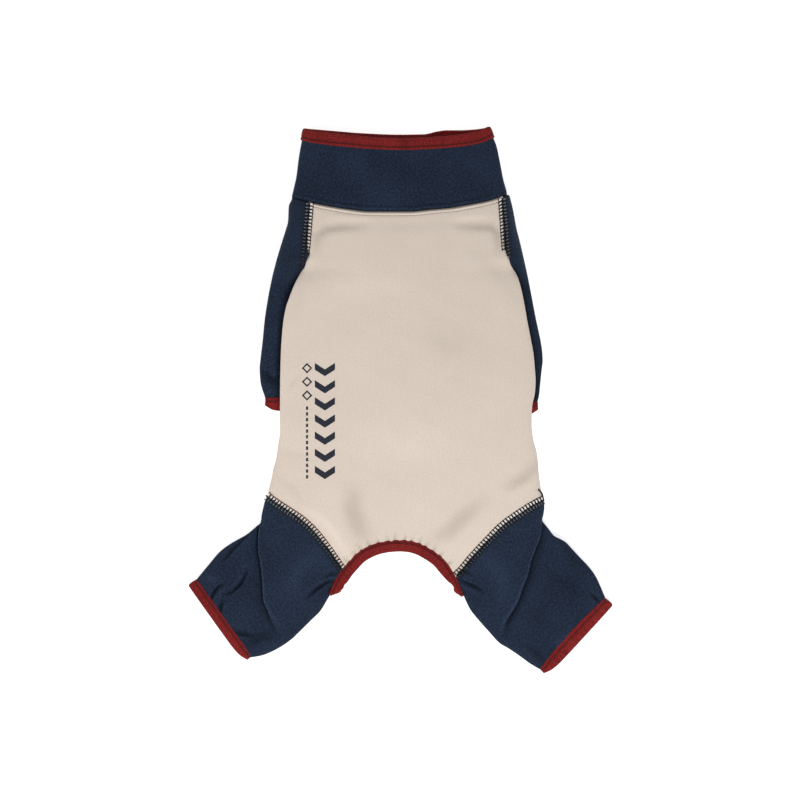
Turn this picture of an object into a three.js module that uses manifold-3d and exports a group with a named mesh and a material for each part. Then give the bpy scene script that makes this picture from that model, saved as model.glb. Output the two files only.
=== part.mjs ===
// A four-legged dog jumpsuit of knitted cotton, lying belly down with its back up.
// Millimetres, +Z up. The neck points along +Y and the garment's left side lies at -X.
// Each tube of cloth is a loft through flattened rings, hollow and open at its ends.

import * as THREE from "three";
import { mergeVertices } from "three/addons/utils/BufferGeometryUtils.js";
import Module from "manifold-3d";

const wasm = await Module();
wasm.setup();

// Driving dimensions
const wall = 1.6;               // knitted cloth with its seam allowance
const gap = 0.3;                // clearance between neighbouring pieces
const bodyLength = 309;         // collar seam at the side to the crotch
const bodyWidth = 196;          // chest, laid flat
const bodyHeight = 25;          // the hollow body as it lies
const collarHeight = 42.5;      // navy band, without its binding
const collarWidth = 166;        // at the collar seam
const collarDip = 10.4;         // sag of the collar seam at mid back
const rimWidth = 142;           // at the neck's rim
const rimDip = 7.7;             // sag of the rim's upper layer
const farRimDip = 5.4;          // sag of the rim's lower layer
const collarTop = 21.5;         // height of the collar as it lies
const sleeveLength = 155;       // collar seam to the sleeve cuff
const sleeveWidth = 50;         // laid flat
const sleeveHeight = 10;        // thickness of the sleeve under the body
const shoulderHeight = 22;      // the sleeve's height where it joins the back
const hindLegLength = 143.6;    // hip seam's top to the lowest cuff, along Y
const hindSpread = 162;         // centre line to the outermost hind cuff
const hindHeight = 19;          // thickness of the hind leg at its seam
const archWidth = 103;          // rump opening, between the binding's outer edges
const archDepth = 42;           // crotch to the top of the rump arch
const bellyArchDepth = 97;      // crotch to the top of the belly's edge
const bellySeamInset = 14;      // side fold to the belly seam on the underside
const sideRamp = 10;            // width over which the belly rises onto a sleeve
const cuffClear = 4;            // past a sleeve cuff, before the body comes down
const riseRunout = 28;          // length over which it comes down
const bindingWidth = 9;         // rib binding, folded over an edge
const bindingThickness = 2.6;
const sleeveCuffWidth = 10.5;   // rib binding on the front sleeves
const hindCuffWidth = 8;        // rib binding on the hind legs
const seamY = 157;              // the collar seam's side ends, along Y

const crotchY = seamY - bodyLength;
const underLift = sleeveHeight + 2 * gap;

// Colours and finishes
const cream = new THREE.MeshStandardMaterial({ color: 0xdccdc0, roughness: 0.9, metalness: 0 });
const navy = new THREE.MeshStandardMaterial({ color: 0x243145, roughness: 0.9, metalness: 0 });
const red = new THREE.MeshStandardMaterial({ color: 0x741f20, roughness: 0.85, metalness: 0 });

// Body sections from the collar seam down. along: share of bodyLength; left, right: shares of
// bodyWidth from the centre line; top: share of bodyHeight; dip: share of the collar seam's sag.
const bodyRows = [
  { along: 0.0, left: 0.375, right: 0.383, top: 0.86, dip: 1 },
  { along: 0.045, left: 0.374, right: 0.388, top: 0.9, dip: 0.85 },
  { along: 0.1, left: 0.372, right: 0.4, top: 0.94, dip: 0.5 },
  { along: 0.154, left: 0.372, right: 0.42, top: 0.97, dip: 0.2 },
  { along: 0.194, left: 0.395, right: 0.456, top: 0.99, dip: 0 },
  { along: 0.224, left: 0.416, right: 0.471, top: 1, dip: 0 },
  { along: 0.254, left: 0.437, right: 0.483, top: 1, dip: 0 },
  { along: 0.314, left: 0.46, right: 0.501, top: 1, dip: 0 },
  { along: 0.408, left: 0.47, right: 0.526, top: 1, dip: 0 },
  { along: 0.49, left: 0.471, right: 0.527, top: 1, dip: 0 },
  { along: 0.56, left: 0.471, right: 0.523, top: 1, dip: 0 },
  { along: 0.61, left: 0.475, right: 0.528, top: 1, dip: 0 },
  { along: 0.653, left: 0.487, right: 0.541, top: 0.98, dip: 0 },
  { along: 0.728, left: 0.514, right: 0.543, top: 0.94, dip: 0 },
  { along: 0.807, left: 0.534, right: 0.554, top: 0.86, dip: 0 },
  { along: 0.9, left: 0.54, right: 0.56, top: 0.74, dip: 0 },
  { along: 1.02, left: 0.542, right: 0.562, top: 0.6, dip: 0 },
];

// Collar sections from the seam up. along: share of collarHeight; left, right: shares of the
// width that runs from collarWidth to rimWidth; top: share of collarTop.
const collarRows = [
  { along: 0.0, left: 0.503, right: 0.497, top: 1 },
  { along: 0.12, left: 0.502, right: 0.5, top: 0.99 },
  { along: 0.4, left: 0.503, right: 0.503, top: 0.97 },
  { along: 0.66, left: 0.508, right: 0.501, top: 0.95 },
  { along: 1.0, left: 0.514, right: 0.49, top: 0.93 },
];
const collarBindingRows = [
  { along: 1.0, left: 0.516, right: 0.492, top: 0.94 },
  { along: 1.12, left: 0.517, right: 0.486, top: 0.94 },
  { along: 1.25, left: 0.518, right: 0.482, top: 0.92 },
];

// Sleeve sections from the collar seam to the cuff. along: share of sleeveLength; outer: share
// of bodyWidth from the centre line; width: share of sleeveWidth; top: from the shoulder (1)
// down to the thin stretch under the body (0); dip: share of the collar seam's sag.
const leftSleeveRows = [
  { along: 0.0, outer: 0.43, width: 0.52, top: 0.95, dip: 1 },
  { along: 0.1, outer: 0.443, width: 0.58, top: 1, dip: 0.7 },
  { along: 0.22, outer: 0.461, width: 0.66, top: 1, dip: 0.4 },
  { along: 0.31, outer: 0.477, width: 0.74, top: 0.9, dip: 0.1 },
  { along: 0.39, outer: 0.493, width: 0.82, top: 0.4, dip: 0 },
  { along: 0.46, outer: 0.506, width: 0.88, top: 0, dip: 0 },
  { along: 0.6, outer: 0.528, width: 0.97, top: 0, dip: 0 },
  { along: 0.71, outer: 0.542, width: 1.02, top: 0, dip: 0 },
  { along: 0.8, outer: 0.552, width: 1.04, top: 0, dip: 0 },
  { along: 0.91, outer: 0.547, width: 1.02, top: 0, dip: 0 },
  { along: 1.0, outer: 0.53, width: 0.97, top: 0, dip: 0 },
];
const rightSleeveRows = [
  { along: 0.0, outer: 0.427, width: 0.46, top: 0.95, dip: 1 },
  { along: 0.1, outer: 0.45, width: 0.58, top: 1, dip: 0.7 },
  { along: 0.22, outer: 0.473, width: 0.66, top: 1, dip: 0.4 },
  { along: 0.31, outer: 0.489, width: 0.72, top: 0.9, dip: 0.1 },
  { along: 0.39, outer: 0.503, width: 0.8, top: 0.4, dip: 0 },
  { along: 0.46, outer: 0.514, width: 0.86, top: 0, dip: 0 },
  { along: 0.6, outer: 0.537, width: 0.95, top: 0, dip: 0 },
  { along: 0.71, outer: 0.553, width: 1.0, top: 0, dip: 0 },
  { along: 0.82, outer: 0.564, width: 1.04, top: 0, dip: 0 },
  { along: 0.93, outer: 0.557, width: 1.02, top: 0, dip: 0 },
  { along: 1.025, outer: 0.545, width: 0.97, top: 0, dip: 0 },
];

// Hind-leg sections from the hip seam to the cuff. outX, inX: shares of hindSpread from the
// centre line; outY, inY: shares of hindLegLength above the crotch; top: share of hindHeight.
// The fourth and fifth rows make the step of the fold that crosses the leg.
const leftLegRows = [
  { outX: 0.632, outY: 0.577, inX: 0.271, inY: 0.153, top: 1 },
  { outX: 0.651, outY: 0.479, inX: 0.328, inY: 0.018, top: 0.95 },
  { outX: 0.665, outY: 0.415, inX: 0.428, inY: -0.132, top: 0.9 },
  { outX: 0.668, outY: 0.4, inX: 0.532, inY: -0.244, top: 0.84 },
  { outX: 0.674, outY: 0.388, inX: 0.551, inY: -0.26, top: 0.66 },
  { outX: 0.76, outY: 0.319, inX: 0.627, inY: -0.302, top: 0.64 },
  { outX: 0.875, outY: 0.227, inX: 0.684, inY: -0.325, top: 0.58 },
  { outX: 0.965, outY: 0.105, inX: 0.713, inY: -0.31, top: 0.52 },
];
const rightLegRows = [
  { outX: 0.675, outY: 0.545, inX: 0.261, inY: 0.121, top: 1 },
  { outX: 0.68, outY: 0.479, inX: 0.304, inY: 0.002, top: 0.95 },
  { outX: 0.675, outY: 0.426, inX: 0.39, inY: -0.148, top: 0.9 },
  { outX: 0.673, outY: 0.41, inX: 0.475, inY: -0.245, top: 0.84 },
  { outX: 0.682, outY: 0.396, inX: 0.499, inY: -0.266, top: 0.66 },
  { outX: 0.741, outY: 0.319, inX: 0.57, inY: -0.319, top: 0.64 },
  { outX: 0.856, outY: 0.217, inX: 0.623, inY: -0.362, top: 0.58 },
  { outX: 0.974, outY: 0.007, inX: 0.67, inY: -0.375, top: 0.52 },
];

// Section shape: how square the upper and lower halves of a flattened ring are
const crown = 2.6;
const sole = 6;
const soleTuck = 0.6;           // depth by which the lower curve is cut flat
const plainFacets = 7;          // facets from the middle of a collar ring to its side
const limbFacets = 5;           // the same on a sleeve or leg
const foldShares = [0, 0.04, 0.15, 0.42, 1]; // from the body's side fold to a ramp's top

const mix = THREE.MathUtils.lerp;
const blend = (low, high, value) => THREE.MathUtils.smoothstep(value, low, high);
const squareness = (share, power) => Math.pow(1 - Math.pow(Math.abs(share), power), 1 / power);

// The collar seam's sag at a place across the garment
function seamSag(x) {
  const share = THREE.MathUtils.clamp((2 * x) / collarWidth, -1, 1);
  return collarDip * (1 - share * share);
}

// The sleeves' inner edges under the body
function sleeveInner(rows) {
  return Math.min(...rows.map((row) => row.outer * bodyWidth - row.width * sleeveWidth));
}
const leftInner = -sleeveInner(leftSleeveRows);
const rightInner = sleeveInner(rightSleeveRows);

// Share of the belly's rise onto the sleeves at a place along the body: it starts where the
// sleeves grow thin, and falls off past their cuffs
const sleeveReach = Math.max(...[...leftSleeveRows, ...rightSleeveRows].map((row) => row.along));
const sleeveEndY = seamY - sleeveReach * sleeveLength - sleeveCuffWidth;
const thinFrom = 0.28;          // shares of sleeveLength
const thinTo = 0.45;
const riseFrom = seamY - thinFrom * sleeveLength;
const riseTo = seamY - thinTo * sleeveLength;
function riseAt(y) {
  const up = blend(0, riseFrom - riseTo, riseFrom - y);
  const down = blend(cuffClear, cuffClear + riseRunout, sleeveEndY - y);
  return up * (1 - down);
}

// How far the belly stands above the ground at a place across the body
function underside(x, lift) {
  const left = blend(0, sideRamp, leftInner - gap - x + sideRamp);
  const right = blend(0, sideRamp, x - rightInner - gap + sideRamp);
  return lift * Math.max(left, right);
}

// Shares across a limb or collar ring, from side to side
function evenShares(facets) {
  return Array.from({ length: 2 * facets + 1 },
    (_, k) => Math.sin((k / facets - 1) * Math.PI * 0.5));
}

// Shares across a body ring, with a facet edge at each end of both ramps
function bodyShares(left, right) {
  const share = (x) => (2 * x - left - right) / (right - left);
  const leftTop = share(leftInner - gap);
  const leftFoot = share(leftInner - gap + sideRamp);
  const rightTop = share(rightInner + gap);
  const rightFoot = share(rightInner + gap - sideRamp);
  return [
    ...foldShares.map((one) => mix(-1, leftTop, one)),
    leftFoot, leftFoot / 2, 0, rightFoot / 2, rightFoot,
    ...[...foldShares].reverse().map((one) => mix(1, rightTop, one)),
  ];
}

// One flattened ring between two plan points. grow widens it all round, or narrows it.
function ring({ from, to, top, across, lift = 0, sag = () => 0 }, grow = 0) {
  const middle = from.clone().add(to).multiplyScalar(0.5);
  const half = to.clone().sub(from).multiplyScalar(0.5);
  const reach = half.length();
  const side = (top + lift) / 2;
  const upper = across.map((share) => ({
    share,
    z: side + (top - side) * squareness(share, crown),
    layer: 1,
  }));
  const lower = across.slice(1, -1).reverse().map((share) => {
    const base = underside(middle.x + half.x * share, lift);
    const curve = side - (side - base + soleTuck) * squareness(share, sole);
    return { share, z: Math.max(base, curve), layer: 0 };
  });
  const loop = [...upper, ...lower].map((point) => ({ ...point, a: point.share * reach }));
  return loop.map((point, index) => {
    const before = loop[(index + loop.length - 1) % loop.length];
    const after = loop[(index + 1) % loop.length];
    const alongA = after.a - before.a;
    const alongZ = after.z - before.z;
    const size = Math.hypot(alongA, alongZ);
    const a = point.a - (alongZ / size) * grow;
    const z = point.z + (alongA / size) * grow;
    const share = a / reach;
    const x = middle.x + half.x * share;
    const y = middle.y + half.y * share - sag(x, point.layer, share);
    return new THREE.Vector3(x, y, z);
  });
}

// Closed solid through a row of rings with equal numbers of points
function skin(rings, closed = false) {
  const count = rings[0].length;
  const points = rings.flat();
  const faces = [];
  const spans = closed ? rings.length : rings.length - 1;
  for (let row = 0; row < spans; row += 1) {
    const here = row * count;
    const next = ((row + 1) % rings.length) * count;
    for (let k = 0; k < count; k += 1) {
      const k2 = (k + 1) % count;
      faces.push(here + k, next + k, next + k2, here + k, next + k2, here + k2);
    }
  }
  if (!closed) {
    for (const [start, turn] of [[0, 1], [(rings.length - 1) * count, -1]]) {
      const centre = new THREE.Vector3();
      for (let k = 0; k < count; k += 1) centre.addScaledVector(points[start + k], 1 / count);
      const hub = points.push(centre) - 1;
      for (let k = 0; k < count; k += 1) {
        const k2 = (k + 1) % count;
        faces.push(hub, ...(turn > 0 ? [start + k, start + k2] : [start + k2, start + k]));
      }
    }
  }
  const geometry = new THREE.BufferGeometry().setFromPoints(points);
  geometry.setIndex(faces);
  return geometry;
}

// Closed mesh to solid, turned outwards where its faces point in
function solid(geometry) {
  const bare = geometry.clone();
  bare.deleteAttribute("normal");
  bare.deleteAttribute("uv");
  const merged = mergeVertices(bare, 1e-4);
  const build = (indices) => new wasm.Manifold(new wasm.Mesh({
    numProp: 3,
    vertProperties: new Float32Array(merged.attributes.position.array),
    triVerts: new Uint32Array(indices),
  }));
  const indices = Array.from(merged.index.array);
  const first = build(indices);
  if (first.volume() > 0) return first;
  for (let k = 0; k < indices.length; k += 3) {
    [indices[k + 1], indices[k + 2]] = [indices[k + 2], indices[k + 1]];
  }
  return build(indices);
}

// Sections past both open ends, in line with the last two, so that a hollow cuts through
function extend(sections, reach = 2) {
  const beyond = (end, inner) => {
    const centre = end.from.clone().add(end.to).multiplyScalar(0.5);
    const other = inner.from.clone().add(inner.to).multiplyScalar(0.5);
    const shift = centre.sub(other).setLength(reach);
    return { ...end, from: end.from.clone().add(shift), to: end.to.clone().add(shift) };
  };
  const last = sections.length - 1;
  return [
    beyond(sections[0], sections[1]),
    ...sections,
    beyond(sections[last], sections[last - 1]),
  ];
}

const loft = (sections, grow = 0) => solid(skin(sections.map((one) => ring(one, grow))));
const hollow = (sections, thickness) => loft(extend(sections), -thickness);
const tube = (sections, thickness) => loft(sections).subtract(hollow(sections, thickness));

// Upright block over a plan outline
function prism(outline, low, high) {
  const shape = new THREE.Shape(outline);
  const geometry = new THREE.ExtrudeGeometry(shape, { depth: high - low, bevelEnabled: false });
  geometry.translate(0, 0, low);
  return solid(geometry);
}

// One row of the body's table at any share of its length
function bodyRow(along) {
  const last = bodyRows.length - 1;
  let k = bodyRows.findIndex((row) => row.along > along);
  k = THREE.MathUtils.clamp(k < 0 ? last : k, 1, last);
  const [before, after] = [bodyRows[k - 1], bodyRows[k]];
  const share = (along - before.along) / (after.along - before.along);
  const at = (name) => mix(before[name], after[name], share);
  return { along, left: at("left"), right: at("right"), top: at("top"), dip: at("dip") };
}

// Body, as sections across X: the table's rows, and rows where the rise starts and ends
const alongOf = (y) => (seamY - y) / bodyLength;
const riseAlongs = [riseFrom, riseTo, sleeveEndY - cuffClear,
  sleeveEndY - cuffClear - riseRunout].map(alongOf);
const closest = 0.012;          // share of bodyLength that two rows keep between them
const clearOf = (along) => bodyRows.every((row) => Math.abs(row.along - along) > closest);
const bodyAlongs = [...bodyRows.map((row) => row.along), ...riseAlongs.filter(clearOf)]
  .sort((a, b) => a - b);
const bodySections = bodyAlongs.map((along) => {
  const row = bodyRow(along);
  const y = seamY - gap / 2 - along * bodyLength;
  const left = -row.left * bodyWidth;
  const right = row.right * bodyWidth;
  return {
    from: new THREE.Vector2(left, y),
    to: new THREE.Vector2(right, y),
    top: row.top * bodyHeight,
    across: bodyShares(left, right),
    lift: riseAt(y) * underLift,
    sag: (x) => row.dip * seamSag(x),
  };
});

// Height of the body's back at a plan point
function backHeight(x, y) {
  const row = bodyRow(alongOf(y));
  const middle = ((row.right - row.left) / 2) * bodyWidth;
  const half = ((row.right + row.left) / 2) * bodyWidth;
  const side = (row.top * bodyHeight) / 2;
  const across = THREE.MathUtils.clamp((x - middle) / half, -1, 1);
  return side + side * squareness(across, crown);
}

// Sleeves, whose upper ends follow the collar seam
function sleeveSections(rows, sideSign) {
  return rows.map((row) => {
    const y = seamY - gap / 2 - row.along * sleeveLength;
    const outer = row.outer * bodyWidth * sideSign;
    const inner = outer - row.width * sleeveWidth * sideSign;
    return {
      from: new THREE.Vector2(Math.min(outer, inner), y),
      to: new THREE.Vector2(Math.max(outer, inner), y),
      top: mix(sleeveHeight, shoulderHeight, row.top),
      across: evenShares(limbFacets),
      sag: (x) => row.dip * seamSag(x),
    };
  });
}

// Hind legs, as sections between an outer and an inner point
function legSections(rows, sideSign) {
  return rows.map((row) => {
    const outer = new THREE.Vector2(
      sideSign * row.outX * hindSpread, crotchY + row.outY * hindLegLength);
    const inner = new THREE.Vector2(
      sideSign * row.inX * hindSpread, crotchY + row.inY * hindLegLength);
    const [from, to] = sideSign < 0 ? [outer, inner] : [inner, outer];
    return { from, to, top: row.top * hindHeight, across: evenShares(limbFacets) };
  });
}

// A band that carries a tube on past its last section
function bandSections(sections, width) {
  const [before, end] = sections.slice(-2);
  const centre = (one) => one.from.clone().add(one.to).multiplyScalar(0.5);
  const square = end.to.clone().sub(end.from).normalize();
  let away = new THREE.Vector2(square.y, -square.x);
  if (away.dot(centre(end).sub(centre(before))) < 0) away = away.negate();
  const swell = (bindingThickness - wall) / 2;
  return [gap, width * 0.35, width].map((distance) => ({
    from: end.from.clone().addScaledVector(away, distance).addScaledVector(square, -swell),
    to: end.to.clone().addScaledVector(away, distance).addScaledVector(square, swell),
    top: end.top + swell,
    across: evenShares(limbFacets),
    sag: end.sag,
  }));
}

// Rump opening: plan points on the binding's outer edge, and on lines beside it
const archPower = 2.6;
const archLeft = 0.524;         // share of archWidth left of the arch's top
function archPoint(t, depth, inward) {
  const span = (t < 0 ? archLeft : 1 - archLeft) * archWidth;
  const x = t * span;
  const y = crotchY + depth - depth * Math.pow(Math.abs(t), archPower);
  const slope = -Math.sign(t) * depth * archPower * Math.pow(Math.abs(t), archPower - 1) / span;
  const normal = new THREE.Vector2(slope, -1).normalize();
  return new THREE.Vector2(x, y).addScaledVector(normal, inward);
}
const archSteps = 10;
const archShares = Array.from({ length: 2 * archSteps + 1 },
  (_, k) => Math.sin((k / archSteps - 1) * Math.PI * 0.5));
const rumpReach = 0.93;         // share of the rump arch that the binding's upper run takes
const bellyReach = 0.97;        // share of the belly's arch that its lower run takes

// Everything below an arch, down past the crotch
function archBlock(depth, low, high) {
  const edge = archShares.map((t) => archPoint(t, depth, -gap));
  const drop = hindLegLength * 0.1;
  const last = edge[edge.length - 1];
  edge.push(new THREE.Vector2(last.x, last.y - drop), new THREE.Vector2(edge[0].x, last.y - drop));
  return prism(edge, low, high);
}

// The rump binding's closed route: over the rump, round one crotch, along the belly's edge and
// round the other crotch. Each stop has its place and the direction of the strip's width.
const turnSteps = 5;
function rumpRoute() {
  const stops = [];
  const middle = bindingWidth / 2;
  const low = bindingThickness / 2 + gap;
  const place = (t, depth, z) => {
    const point = archPoint(t, depth, middle);
    const away = archPoint(t, depth, 0).sub(point).normalize();
    stops.push({
      at: new THREE.Vector3(point.x, point.y, z),
      wide: new THREE.Vector3(away.x, away.y, 0),
    });
  };
  const turn = (side, fromZ, toZ) => {
    const here = archPoint(side * rumpReach, archDepth, middle);
    const there = archPoint(side * bellyReach, bellyArchDepth, middle);
    const away = archPoint(side * rumpReach, archDepth, 0).sub(here).normalize();
    const down = new THREE.Vector2(side * away.y, -side * away.x);
    const radius = (fromZ - toZ) / 2;
    for (let k = 1; k <= turnSteps; k += 1) {
      const share = k / (turnSteps + 1);
      const spot = here.clone().lerp(there, share);
      spot.addScaledVector(down, Math.sin(share * Math.PI) * radius);
      const z = toZ + radius + Math.cos(share * Math.PI) * radius;
      stops.push({
        at: new THREE.Vector3(spot.x, spot.y, z),
        wide: new THREE.Vector3(away.x, away.y, 0),
      });
    }
  };
  const topAt = (t) => {
    const point = archPoint(t, archDepth, middle);
    return backHeight(point.x, point.y) - wall / 2;
  };
  const upper = archShares.map((t) => t * rumpReach);
  const lower = archShares.map((t) => -t * bellyReach);
  upper.forEach((t) => place(t, archDepth, topAt(t)));
  turn(1, topAt(rumpReach), low);
  lower.forEach((t) => place(t, bellyArchDepth, low));
  turn(-1, topAt(-rumpReach), low);
  const back = stops.splice(-turnSteps).reverse();
  return [...stops, ...back];
}

// Flat strip along a closed route, its corners rounded off
function strip(stops, width, thickness) {
  const count = stops.length;
  const rings = stops.map((stop, k) => {
    const before = stops[(k + count - 1) % count].at;
    const after = stops[(k + 1) % count].at;
    const along = after.clone().sub(before).normalize();
    const wide = stop.wide.clone().addScaledVector(along, -stop.wide.dot(along)).normalize();
    const up = along.clone().cross(wide);
    const corner = thickness * 0.3;
    const w = width / 2;
    const h = thickness / 2;
    const outline = [[w, -h + corner], [w, h - corner], [w - corner, h], [-w + corner, h],
      [-w, h - corner], [-w, -h + corner], [-w + corner, -h], [w - corner, -h]];
    return outline.map(([a, b]) => stop.at.clone().addScaledVector(wide, a).addScaledVector(up, b));
  });
  return solid(skin(rings, true));
}

// Solids that the pieces are cut from
const sleeves = {
  left: sleeveSections(leftSleeveRows, -1),
  right: sleeveSections(rightSleeveRows, 1),
};
const legs = {
  left: legSections(leftLegRows, -1),
  right: legSections(rightLegRows, 1),
};
const route = rumpRoute();
const rumpBinding = strip(route, bindingWidth, bindingThickness);
const rumpRoom = strip(route, bindingWidth + 2 * gap, bindingThickness + 2 * gap);
const lowerShare = 0.32;        // share of bodyHeight that the belly's lower layer takes
const midHeight = bodyHeight * lowerShare;
const rearCut = archBlock(archDepth, midHeight, 2 * bodyHeight)
  .add(archBlock(bellyArchDepth, -bodyHeight, midHeight));

// Everything on the leg's side of a hip seam, with the gap on the body's side
function beyondSeam(sections, sideSign) {
  const { from, to } = sections[0];
  const along = to.clone().sub(from).normalize();
  const away = new THREE.Vector2(along.y * sideSign, -along.x * sideSign);
  const outward = away.y > 0 ? away.negate() : away;
  const start = from.clone().addScaledVector(along, -hindSpread).addScaledVector(outward, -gap);
  const end = to.clone().addScaledVector(along, hindSpread).addScaledVector(outward, -gap);
  const far = outward.clone().multiplyScalar(hindSpread);
  return prism([start, end, end.clone().add(far), start.clone().add(far)],
    -bodyHeight, 2 * bodyHeight);
}

let body = loft(bodySections).subtract(hollow(bodySections, wall));
for (const side of ["left", "right"]) {
  body = body.subtract(hollow(sleeves[side], wall));
  body = body.subtract(beyondSeam(legs[side], side === "left" ? -1 : 1));
}
body = body.subtract(rearCut).subtract(rumpRoom);

// Belly panel: the lower layer between the two belly seams, which run out past the side folds
// at the armholes
const armholeFrom = 0.13;       // shares of bodyLength
const armholeTo = 0.2;
const bellyTop = 0.53;          // share of bodyHeight that the lower layer stays under
function bellyBlock(shrink) {
  const rows = bodyRows.map((row) => {
    const armhole = 1 - blend(armholeFrom, armholeTo, row.along);
    const inset = mix(bellySeamInset, -bellySeamInset, armhole) + shrink;
    const extra = row.along === 0 ? bellySeamInset : 0;
    return { row, inset, y: seamY + extra - row.along * bodyLength };
  });
  const left = rows.map(({ row, inset, y }) => new THREE.Vector2(
    -row.left * bodyWidth + inset, y));
  const right = rows.map(({ row, inset, y }) => new THREE.Vector2(
    row.right * bodyWidth - inset, y));
  return prism([...left, ...right.reverse()], -bodyHeight, bodyHeight * bellyTop - shrink);
}
const back = body.subtract(bellyBlock(0));
const belly = body.intersect(bellyBlock(gap));

const bodyRoom = loft(bodySections, gap);
const rimAlong = collarBindingRows[collarBindingRows.length - 1].along;
const collarSections = (rows, grow) => rows.map((row) => {
  const width = mix(collarWidth, rimWidth, row.along / rimAlong) + 2 * grow;
  const start = row === rows[0] ? gap / 2 : 0;
  const y = seamY + start + row.along * collarHeight;
  const sagAt = (x, layer, share) => {
    const rim = layer ? rimDip : farRimDip;
    return mix(seamSag(x), rim * (1 - Math.min(1, share * share)), Math.min(1, row.along));
  };
  return {
    from: new THREE.Vector2(-row.left * width, y),
    to: new THREE.Vector2(row.right * width, y),
    top: row.top * collarTop + grow,
    across: evenShares(plainFacets),
    sag: sagAt,
  };
});
const collar = collarSections(collarRows, 0);
const collarRim = collarSections(collarBindingRows, (bindingThickness - wall) / 2);

const pieces = [
  ["back_panel", back, cream],
  ["belly_panel", belly, cream],
  ["collar", tube(collar, wall), navy],
  ["collar_binding", tube(collarRim, bindingThickness), red],
];
for (const side of ["left", "right"]) {
  const sleeve = tube(sleeves[side], wall).subtract(bodyRoom);
  const leg = tube(legs[side], wall).subtract(rearCut).subtract(rumpRoom);
  pieces.push([`sleeve_${side}`, sleeve, navy]);
  pieces.push([`sleeve_cuff_${side}`, tube(bandSections(sleeves[side], sleeveCuffWidth),
    bindingThickness), red]);
  pieces.push([`hind_leg_${side}`, leg, navy]);
  pieces.push([`hind_cuff_${side}`, tube(bandSections(legs[side], hindCuffWidth),
    bindingThickness), red]);
}
pieces.push(["rump_binding", rumpBinding, red]);

// Solids to named meshes
function mesh(name, shape, material) {
  const made = shape.getMesh();
  const geometry = new THREE.BufferGeometry();
  geometry.setAttribute("position", new THREE.BufferAttribute(made.vertProperties, 3));
  geometry.setIndex(new THREE.BufferAttribute(made.triVerts, 1));
  geometry.computeVertexNormals();
  const part = new THREE.Mesh(geometry, material);
  part.name = name;
  return part;
}

// The origin lies under the middle of the whole garment
const jumpsuit = new THREE.Group();
for (const [name, shape, material] of pieces) jumpsuit.add(mesh(name, shape, material));
const middle = new THREE.Box3().setFromObject(jumpsuit).getCenter(new THREE.Vector3());
jumpsuit.position.set(-middle.x, -middle.y, 0);

export default jumpsuit;
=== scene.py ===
# A dog jumpsuit of brushed cotton jersey, lying belly down on a pale floor, seen from above.
# Built in millimetres, +Y towards the neck, and turned to metres as each mesh is made.

import math

import bmesh
import bpy
import numpy as np
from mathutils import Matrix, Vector
from mathutils.bvhtree import BVHTree


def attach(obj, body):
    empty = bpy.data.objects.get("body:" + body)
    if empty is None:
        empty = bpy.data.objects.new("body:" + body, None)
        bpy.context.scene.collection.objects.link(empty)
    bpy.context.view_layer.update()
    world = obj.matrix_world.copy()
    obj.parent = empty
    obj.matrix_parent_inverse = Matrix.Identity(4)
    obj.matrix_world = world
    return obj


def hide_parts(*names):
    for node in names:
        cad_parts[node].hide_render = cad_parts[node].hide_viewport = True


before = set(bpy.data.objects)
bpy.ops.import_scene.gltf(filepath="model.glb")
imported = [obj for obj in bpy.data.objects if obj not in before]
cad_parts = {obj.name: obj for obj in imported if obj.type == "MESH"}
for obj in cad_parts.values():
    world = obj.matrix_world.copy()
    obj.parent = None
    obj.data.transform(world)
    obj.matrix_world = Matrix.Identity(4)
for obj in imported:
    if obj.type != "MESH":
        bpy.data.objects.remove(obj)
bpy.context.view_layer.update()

# The CAD part was centred on its own middle, so each point takes the same shift
SHIFT = np.array([-0.43, 0.72, 0.0])
MM = 0.001

# Sizes in millimetres
CLOTH = 1.3  # brushed jersey
LIMB_CLOTH = 1.2  # the same on sleeves and legs
UNDER_LIFT = 10.6  # the belly's rise where it lies on the sleeves
SLEEVE_TOP = 10.0  # the sleeve's thickness under the body
SLEEVE_INNER = (-55.0, 57.7)  # inner edges of the sleeves under the body
RAMP = 12.0  # width of the belly's rise
BELLY_INSET = 14.0  # side fold to belly seam
TUCK = 1.3  # depth that a sewn edge dips
BINDING = 3.0  # thickness of a folded rib binding
RIM_WIDTH = 9.8  # width of the binding on the neck's rim
RUMP_WIDTH = 9.3  # and of the one round the rump
SEWN_IN = 3.5  # how far the cloth's cut edge lies inside the rump's binding
COLLAR_RISE = (21.8, 20.0)  # the collar's thickness as it lies, at its seam and at its rim
COLLAR_PUFF = 1.9  # from the collar's seam to where the cloth beside it puffs up
COLLAR_CREASE = 3.7  # and to the crease on the collar's side
TOPSTITCH_BELOW = 3.3  # and to the topstitching on the back
BACK_LENGTH = 262  # lengths of cloth from the seam at the neck end
BELLY_LENGTH = 230
COLLAR_LENGTH = 50
SLEEVE_LENGTH = 156
PATCH_UV = 0.001  # one unit of UV is a metre of cloth


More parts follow.
